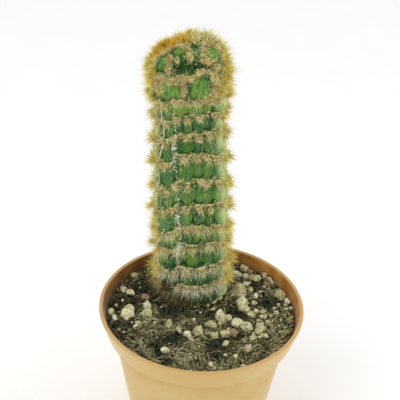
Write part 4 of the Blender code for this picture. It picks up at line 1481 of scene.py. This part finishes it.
def addHeadSpines():
    s = spine
    made = Spines(s["headSeed"])
    rng = made.rng
    spotA, spotE, _ = headSpots(rng)
    places = headFrame(spotA, spotE)
    golds = 0.15 + 0.7 * easeStep(-6, 6, outsideFace(spotA, spotE)[0])
    for kind in ("headRadial", "headCentral"):
        made.tufts(s[kind], places, golds)

    def matPlaces(count):
        # random places on the head, kept where the mat is dense, with how golden, long and rusty each is
        a = rng.uniform(-180, 180, count * 5)
        e = np.degrees(np.arcsin(rng.uniform(math.sin(math.radians(headFoot)), 1, len(a))))
        kept = np.flatnonzero(rng.uniform(0, 1, len(a)) < goldMat(a, e))[:count]
        a, e = a[kept], e[kept]
        golds = 1.0 - 0.85 * paleTurn(outsideFace(a, e)[1])
        scale = 1 - 0.2 * (easeStep(-30, -80, a) * easeStep(25, 45, e)) + 0.1 * easeStep(35, 70, a)
        return headFrame(a, e), golds, scale, rustAt(a, e) * rng.uniform(0.5, 1.0, len(kept))

    spots, golds, _, rust = matPlaces(s["crownTufts"])
    made.tufts(s["crown"], spots, golds, rust=rust)
    for kind in (s["crownHair"], s["crownTip"]):
        spots, golds, scale, rust = matPlaces(kind["count"])
        n = len(spots)
        tilt = np.abs(rng.normal(kind["meanTilt"], kind["spread"], n))
        ways = leaning(spots, tilt, rng.uniform(0, 2 * np.pi, n))
        lengths = rng.uniform(*kind["length"], n) * scale
        made.take(spots, ways, lengths, golds + rng.normal(0, 0.15, n), kind["width"], rust)
    made.addPieceOf("head_spines", s["headDroop"])


addWool()
addFlakes()
addStemSpines()
addHeadSpines()


# Soil

soil = {
    "wallMargin": 2.6,
    "stemMargin": 0.4,
    "crumbSeed": 83,
    "edgeHeight": -6.5,
    "relief": 1.2,
    "blend": 2.5,
    "lumps": 1.3,
    "grains": 0.6,
    "gap": 0.3,
    "sides": 420,
    "rings": 104,
    "crumbs": 4000,
    "crumbSize": (0.5, 2.6),
    # how many fibres and hairs of peat, the points along each, and its length, radius, height and arch
    "fibres": {"seed": 97, "count": 1300, "steps": 6, "length": (3.0, 8.5), "radius": (0.08, 0.18),
               "lift": (0.2, 1.2), "arch": 1.2},
    "hairs": {"seed": 98, "count": 3600, "steps": 4, "length": (1.6, 5.5), "radius": (0.06, 0.12),
              "lift": (0.1, 0.9), "arch": 0.8},
    # dark bare patches, some of them painted shadow, as at the stem's left foot: across and along from the
    # pot's middle, and their radius
    "darkSpots": (
        (17, 0, 4.6), (30, 38, 2.4), (28, 23, 3.4), (33, 11, 5.6), (39, 13, 3.4), (-31, 15, 6.8),
        (-45, 5, 4.4), (-18, 7, 3.5), (8, -25, 5.4), (-14, -23, 5.6), (-21, -30, 4.6), (9, -34, 4.5),
        (-16, -1, 6.5), (-18, -39, 4.2), (-7, -42, 3.0), (18, -18, 2.4), (-24, 30, 4.0), (4, 44, 5.0),
        (-36, 4, 3.0),
    ),
    "peat": ((0.012, 0.012, 0.007), (0.110, 0.098, 0.042)),
    "peatDust": (0.24, 0.21, 0.10),
    "peatPatch": (0.135, 0.125, 0.055),
    "peatDark": (0.012, 0.017, 0.011),
    "crumb": ((0.008, 0.009, 0.006), (0.105, 0.095, 0.043)),
    "paleCrumb": (0.36, 0.31, 0.15),
    "crumbStain": (0.035, 0.030, 0.016),
    "fibre": ((0.060, 0.050, 0.020), (1.0, 0.92, 0.50)),
    "fibreStain": (0.14, 0.125, 0.06),
}
grit = {
    "seed": 101,
    "largeSeed": 103,
    "smallSeed": 107,
    # place across and along from the pot's middle, length, and w white, t tan or r reddish
    "large": (
        (22, 39, 4.3, "t"), (18, 32, 5.2, "w"), (22, 30, 3.6, "w"), (19, 24, 3.6, "w"), (23, 25, 3.4, "w"),
        (26, 36, 2.9, "r"), (29, 29, 3.6, "w"), (26, 31, 3.2, "t"), (33, 33, 3.6, "t"), (36, 31, 3.2, "t"),
        (38, 29, 2.4, "w"), (34, 27, 3.4, "r"), (20, 17, 6.4, "t"), (21, 7, 6.2, "w"), (22, 3, 5.4, "t"),
        (28, 14, 3.0, "w"), (27, 9, 2.6, "w"), (42, 18, 6.0, "t"), (46, 13, 2.8, "w"), (32, -2, 3.4, "w"),
        (34, -6, 3.4, "t"), (30, -11, 5.4, "w"), (19, -9, 5.8, "w"), (24, -11, 5.8, "w"), (39, 2, 2.8, "t"),
        (32, 3, 3.0, "t"), (47, 8, 2.0, "w"), (46, -4, 2.4, "r"), (36, 0, 2.4, "t"), (44, 7, 2.1, "w"),
        (40, 9, 2.1, "t"), (-38, 29, 4.0, "t"), (-41, 15, 3.5, "w"), (-37, 12, 5.0, "w"), (-29, 8, 5.0, "r"),
        (-41, 7, 1.6, "w"), (-28, 2, 4.2, "w"), (-37, -4, 7.6, "w"), (-28, -4, 5.6, "w"), (-46, -3, 3.6, "w"),
        (-44, -7, 3.6, "w"), (-40, -6, 2.3, "w"), (-38, -9, 2.0, "w"), (-32, -11, 3.0, "w"),
        (-33, -14, 2.8, "w"), (-27, 33, 1.8, "w"), (10, -3, 5.6, "w"), (5, -10, 5.2, "t"), (14, -6, 4.4, "w"),
        (11, -9, 5.0, "t"), (7, -17, 4.1, "w"), (13, -17, 5.0, "t"), (17, -16, 4.4, "r"),
        (-11, -16, 3.8, "t"), (-6, -19, 3.7, "w"), (-1, -16, 5.2, "t"), (-16, -11, 4.0, "t"),
        (13, -24, 3.2, "w"), (-17, -32, 4.0, "w"), (6, -40, 2.8, "w"), (24, -27, 3.7, "t"),
        (18, -34, 2.5, "w"), (13, -32, 2.3, "t"), (-4, -23, 3.5, "t"), (22, -40, 2.4, "w"),
        (28, 2, 3.2, "w"), (25, 20, 3.2, "t"), (26, -1, 3.4, "w"), (27, -18, 3.6, "t"), (33, -16, 3.2, "w"),
    ),
    "bigFrom": 3.9,  # grains longer than this are modelled finer
    "smallCount": 130,
    "smallSize": (0.6, 2.2),
    # where small grains gather: across and along, the reach of each way, and how thickly
    "drifts": ((29, -1, 14, 26, 1.0), (-37, 4, 10, 14, 0.35)),
    "redShare": 0.06,
    "above": 0.20,
    "flats": 8,
    "flatsAt": (0.52, 0.82),  # in radii from the grain's middle
    "sharpAngle": 40,
    "colours": ((0.62, 0.57, 0.30), (0.92, 0.89, 0.60)),
    "tan": (0.55, 0.48, 0.24),
    "red": (0.30, 0.17, 0.10),
    "stain": (0.34, 0.30, 0.13),
    "pore": (0.10, 0.085, 0.04),
}


def soilRipple(x, y):
    # low uneven relief of the peat, a sum of waves, between -1 and 1
    waves = np.sin(0.41 * x + 0.9) * np.cos(0.37 * y + 0.3) + 0.7 * np.sin(0.71 * x - 0.53 * y + 2.1)
    return (waves + 0.5 * np.cos(0.93 * x + 0.88 * y - 0.7)) / 2.2


def flatCloud(x, y, size, seed, octaves=1):
    # smooth noise over the level ground
    return cloud(np.stack([x, y, 0 * x], -1), size, seed, octaves)


def soilTop(x, y):
    # level at the stem, a little lower at the pot's wall, rippled and crumbly in between
    centreX, centreY = stemCentre(stem["soilHeight"])
    fromStem = np.hypot(x - centreX, y - centreY) - stem["buriedTopRadius"]
    fromWall = pot["mouthRadius"] - np.hypot(x, y)
    share = fromStem / (fromStem + fromWall)
    calm = easeStep(soil["blend"], soil["blend"] + 4, fromStem) * easeStep(0.5, 3, fromWall)
    low = stem["soilHeight"] + (soil["edgeHeight"] - stem["soilHeight"]) * share
    lumps, grains = flatCloud(x, y, 5.0, 61, 3), np.abs(flatCloud(x, y, 1.6, 71, 2))
    crumbly = soil["lumps"] * lumps + soil["grains"] * grains
    return low + soil["relief"] * calm * soilRipple(x, y) + crumbly * (0.3 + 0.7 * calm)


def darkness(x, y):
    # 1 in the middle of a dark patch, fading as exp(-(d/r)^2) of a wavering distance
    most = 0.0 * x
    wavingX, wavingY = x + 2.2 * flatCloud(x, y, 3.5, 131, 2), y + 2.2 * flatCloud(x, y, 3.5, 137, 2)
    for across, along, radius in soil["darkSpots"]:
        most = np.maximum(most, bell(np.hypot(wavingX - across, wavingY - along) / radius))
    return most


def peatFinish():
    f = Finish("peat", Roughness=0.95, Specular_IOR_Level=0.2)
    fine, mid, broad = f.noise(0.6, 4.0, roughness=0.65), f.noise(2.4, 4.0), f.noise(13.0, 3.0)
    f.put("Base Color", f.over(
        f.mix(mid.between(0.3, 0.7), *soil["peat"]),
        (fine.between(0.5, 0.75) * 0.6, soil["peatDust"]),
        (broad.between(0.45, 0.7) * 0.6, soil["peatPatch"]),
        # dark patches: bare peat, partly painted shadow
        (f.field("dark") * 0.8, soil["peatDark"]),
    ))
    f.bump(fine * 0.7 + mid * 0.6, 0.5)
    return f.material


def addSoilBed():
    # the outside follows the pot's inner wall, a gap away from it
    s, p = soil, pot
    gap, wall = s["gap"], p["wall"]
    ledge = rimHeight - p["collarHeight"] + wall + gap
    edge = rimHeight + s["edgeHeight"]
    slope = (p["mouthRadius"] - p["collarFootRadius"] + wall) / (p["collarHeight"] - wall)
    collarRadius = p["collarFootRadius"] - wall - 0.15
    recess = p["footRingInner"] - p["recessSlope"] + wall / 2
    profile = [
        (recess - gap, p["recessHeight"] + wall + gap),
        (p["footRingInner"] + wall + gap, wall + gap),
        (bodyRadiusAt(wall) - wall - 1.2 * gap, wall + gap),
        (bodyRadiusAt(ledge) - wall - 1.2 * gap, ledge),
        (collarRadius, ledge),
        (collarRadius + slope * (edge - ledge), edge),
    ]
    outside = np.stack([level(r, z, s["sides"]) for r, z in profile])
    centre = stemCentre(stem["soilHeight"])
    hole = level(stem["buriedTopRadius"] + 0.08, stem["soilHeight"] + rimHeight, s["sides"], centre)
    share = (np.arange(1, s["rings"]) / s["rings"])[:, None, None]
    top = outside[-1] * (1 - share) + hole * share
    top[..., 2] = rimHeight + soilTop(top[..., 0], top[..., 1])
    endHeight = stem["soilHeight"] - stem["buriedDepth"] - gap
    end = (*stemCentre(endHeight), endHeight + rimHeight)
    floor = level(stem["buriedEndRadius"] + gap, end[2], s["sides"], end[:2])
    rings = np.concatenate([outside, top, hole[None], floor[None]])
    points, triangles = skinRings(rings, (0, 0, profile[0][1]), end)
    fields = {"dark": darkness(points[:, 0], points[:, 1])}
    addPiece("soil_bed", points, triangles, peatFinish(), fields, "soil")


def soilPlaces(rng, count, margin):
    # random places on the soil, clear of the wall and of the stem
    found = np.zeros((0, 2))
    centre = np.array(stemCentre(stem["soilHeight"]))
    while len(found) < count:
        trial = rng.uniform(-50, 50, (4 * count, 2))
        clearWall = np.hypot(*trial.T) < pot["mouthRadius"] - soil["wallMargin"] - margin
        clearStem = np.hypot(*(trial - centre).T) > stem["buriedTopRadius"] + soil["stemMargin"] + margin
        found = np.concatenate([found, trial[clearWall & clearStem]])
    return found[:count]


def crumbFinish():
    f = Finish("peat crumb", Roughness=0.92, Specular_IOR_Level=0.2)
    shade = f.field("shade")
    f.put("Base Color", f.over(
        f.mix(shade.between(0.1, 0.75), *soil["crumb"]),
        (shade.between(0.80, 1.0), soil["paleCrumb"]),
        (f.noise(0.8, 3.0).between(0.5, 0.7) * 0.4, soil["crumbStain"]),
    ))
    f.bump(f.noise(0.4, 3.0), 0.2)
    return f.material


def within(limits, share):
    return limits[0] + (limits[1] - limits[0]) * share


def looseTurns(rng, count):
    # turned at random, and tilted a little
    return turnsFrom(rng.uniform(0, 6.28, count), rng.normal(0, 0.35, count), rng.normal(0, 0.35, count))


def addCrumbs():
    rng = np.random.default_rng(soil["crumbSeed"])
    n = soil["crumbs"]
    places = soilPlaces(rng, n, 0.6)
    size = within(soil["crumbSize"], rng.uniform(0, 1, n)**2.6)  # most are small
    template, faces = ball(0)
    bumpy = template[None] * rng.uniform(0.75, 1.2, (n, len(template), 1))
    centres = np.column_stack([places, rimHeight + soilTop(*places.T) + 0.18 * size])
    stretch = size[:, None] / 2 * rng.uniform((0.8, 0.6, 0.35), (1.7, 1.0, 0.8), (n, 3))
    points, triangles, number = scatter(bumpy, faces, centres, looseTurns(rng, n), stretch)
    shade = rng.uniform(0, 1, n) * (1 - 0.45 * darkness(*places.T))
    addPiece("peat_crumbs", points, triangles, crumbFinish(), {"shade": shade[number]})


def fibreFinish():
    f = Finish("peat fibre", Roughness=0.85, Specular_IOR_Level=0.25)
    colour = f.mix(f.field("shade"), *soil["fibre"])
    f.put("Base Color", f.mix(f.noise(1.6, 3.0).between(0.45, 0.7) * 0.4, colour, soil["fibreStain"]))
    return f.material


def addFibres(name, kind):
    # Each fibre lies on the soil: its points follow a slowly turning way over the ground, a little above it.
    # More of them lie at the front and where broad noise is high, fewer at the left and on dark patches.
    rng = np.random.default_rng(kind["seed"])
    count, steps = kind["count"], kind["steps"]
    trial = soilPlaces(rng, 3 * count, 1.5)
    thick = flatCloud(*trial.T, 14.0, 113) - 2.6 * darkness(*trial.T)
    thick = thick + 0.6 * easeStep(-12, -34, trial[:, 1]) - 0.5 * easeStep(-22, -40, trial[:, 0])
    start = trial[np.argsort(-(thick + rng.normal(0, 0.6, len(trial))))[:count]]
    length = rng.uniform(*kind["length"], count) * rng.uniform(0.5, 1, count)
    t = np.arange(steps) / (steps - 1)
    grainWay = 2.6 * flatCloud(*start.T, 13.0, 127)  # neighbours lie much the same way
    turn = (grainWay + rng.normal(0, 0.55, count))[:, None] + rng.normal(0, 0.28, (count, 1)) * t
    turn = turn + rng.normal(0, 0.05, (count, steps)).cumsum(axis=1)
    step = length[:, None] / (steps - 1)
    x = start[:, :1] + np.cumsum(np.cos(turn) * step, axis=1)
    y = start[:, 1:] + np.cumsum(np.sin(turn) * step, axis=1)
    # off the pot's wall, then off the stem
    pull = np.minimum(1.0, (pot["mouthRadius"] - soil["wallMargin"]) / np.hypot(x, y))
    x, y = x * pull, y * pull
    centreX, centreY = stemCentre(stem["soilHeight"])
    push = np.maximum(1.0, (stem["buriedTopRadius"] + 0.7) / np.hypot(x - centreX, y - centreY))
    x, y = centreX + (x - centreX) * push, centreY + (y - centreY) * push
    lift, arch = rng.uniform(*kind["lift"], (count, 1)), rng.uniform(0, kind["arch"], (count, 1))
    path = np.stack([x, y, rimHeight + soilTop(x, y) + (lift + arch * np.sin(np.pi * t))], -1)
    way = unit(np.gradient(path, axis=1))
    side = unit(np.cross(way, [0.0, 0.0, 1.0]))
    width = rng.uniform(*kind["radius"], (count, 1)) * (1 - 0.8 * t**3)
    ring = threeSided(path, side, np.cross(way, side), width)
    last = 3 * (steps - 1)
    one = np.concatenate([wallsOf(steps, 3), [[2, 1, 0], [last, last + 1, last + 2]]])
    shade = np.repeat(rng.uniform(0, 1, count)**1.45, 3 * steps)
    triangles = repeated(one, count, 3 * steps)
    addPiece(name, ring.reshape(-1, 3), triangles, fibreFinish(), {"shade": shade})


def gritFinish():
    f = Finish("pumice", Roughness=0.85, Specular_IOR_Level=0.25, Subsurface_Weight=0.05,
               Subsurface_Radius=(0.001, 0.0008, 0.0005), Subsurface_Scale=1.0)
    shade, tan, red = (f.field(name) for name in ("shade", "tan", "red"))
    fine, mid = f.noise(0.35, 3.0), f.noise(1.6, 3.0)
    pores = f.cells(1.1).between(0.40, 0.16)
    f.put("Base Color", f.over(
        f.mix(shade, *grit["colours"]),
        (tan * 0.7, grit["tan"]),
        (red * 0.9, grit["red"]),
        (mid.between(0.5, 0.66) * 0.5, grit["stain"]),
        (pores * fine.between(0.3, 0.55) * 0.9, grit["pore"]),
    ))
    f.bump(fine * 0.5 - pores * 0.9 + mid * 0.6, 0.5)
    return f.material


def addGrains(name, divisions, spots, lengths, tan, red, seed):
    # Each grain is a ball with flats cut off it by planes and with lumps: its radius in a direction u is
    # 1 / max(1, u.n / d) over the planes' directions n and distances d, times 1 plus noise.
    rng = np.random.default_rng(seed)
    template, faces = ball(divisions)
    count, flats = len(lengths), grit["flats"]
    noisePlaces = template[None] + rng.uniform(-500, 500, (count, 1, 3))
    facets = np.einsum("kj,nfj->nkf", template, unit(rng.normal(0, 1, (count, flats, 3))))
    facets = facets / rng.uniform(*grit["flatsAt"], (count, 1, flats))
    cut = 1 / np.maximum(1.0, facets.max(axis=2))
    lumps = 1 + 0.12 * cloud(noisePlaces, 0.7, seed) + 0.15 * cloud(noisePlaces, 0.3, seed + 4, 2)
    shapes = template[None] * (lumps * cut)[..., None]
    sizes = lengths[:, None] / 2 * rng.uniform((1.1, 0.95, 0.9), (1.45, 1.2, 1.2), (count, 3))
    room = (pot["mouthRadius"] - 2.1 - 0.62 * lengths) / np.hypot(*spots.T)
    spots = spots * np.minimum(1.0, room)[:, None]
    centres = np.column_stack([spots, rimHeight + soilTop(*spots.T) + grit["above"] * lengths + 0.4])
    points, triangles, number = scatter(shapes, faces, centres, looseTurns(rng, count), sizes)
    fields = {"shade": rng.uniform(0, 1, count)[number], "tan": tan[number], "red": red[number]}
    addPiece(name, points, triangles, gritFinish(), fields, sharpAngle=grit["sharpAngle"])


def addGrit():
    # the listed grains, and small ones by chance in the room between them
    rng = np.random.default_rng(grit["seed"])
    spots = np.array([grain[:2] for grain in grit["large"]], float)
    lengths = np.array([grain[2] for grain in grit["large"]], float)
    kinds = np.array([grain[3] for grain in grit["large"]])
    tan, red = (kinds == "t") * 1.0, (kinds == "r") * 1.0
    big = lengths > grit["bigFrom"]
    addGrains("pumice_large", 3, spots[big], lengths[big], tan[big], red[big], grit["largeSeed"])
    places = soilPlaces(rng, 6 * grit["smallCount"], 1.2)
    drift = 0.10
    for across, along, reachAcross, reachAlong, thickness in grit["drifts"]:
        gathered = bell((places[:, 0] - across) / reachAcross, (places[:, 1] - along) / reachAlong)
        drift = drift + thickness * gathered
    apart = np.min(np.linalg.norm(places[:, None] - spots[None], axis=2) - lengths * 0.5, axis=1)
    wanted = drift * (1 - darkness(*places.T))
    kept = np.flatnonzero((rng.uniform(0, 1, len(places)) < wanted) & (apart > 0.3))[:grit["smallCount"]]
    count = len(kept)
    size = within(grit["smallSize"], rng.uniform(0, 1, count)**1.5)
    spots, lengths = np.concatenate([spots[~big], places[kept]]), np.concatenate([lengths[~big], size])
    tan = np.concatenate([tan[~big], rng.uniform(0, 1, count)])
    red = np.concatenate([red[~big], (rng.uniform(0, 1, count) < grit["redShare"]) * 1.0])
    addGrains("pumice_small", 2, spots, lengths, tan, red, grit["smallSeed"])


addSoilBed()
addCrumbs()
addFibres("peat_fibres", soil["fibres"])
addFibres("peat_hairs", soil["hairs"])
addGrit()
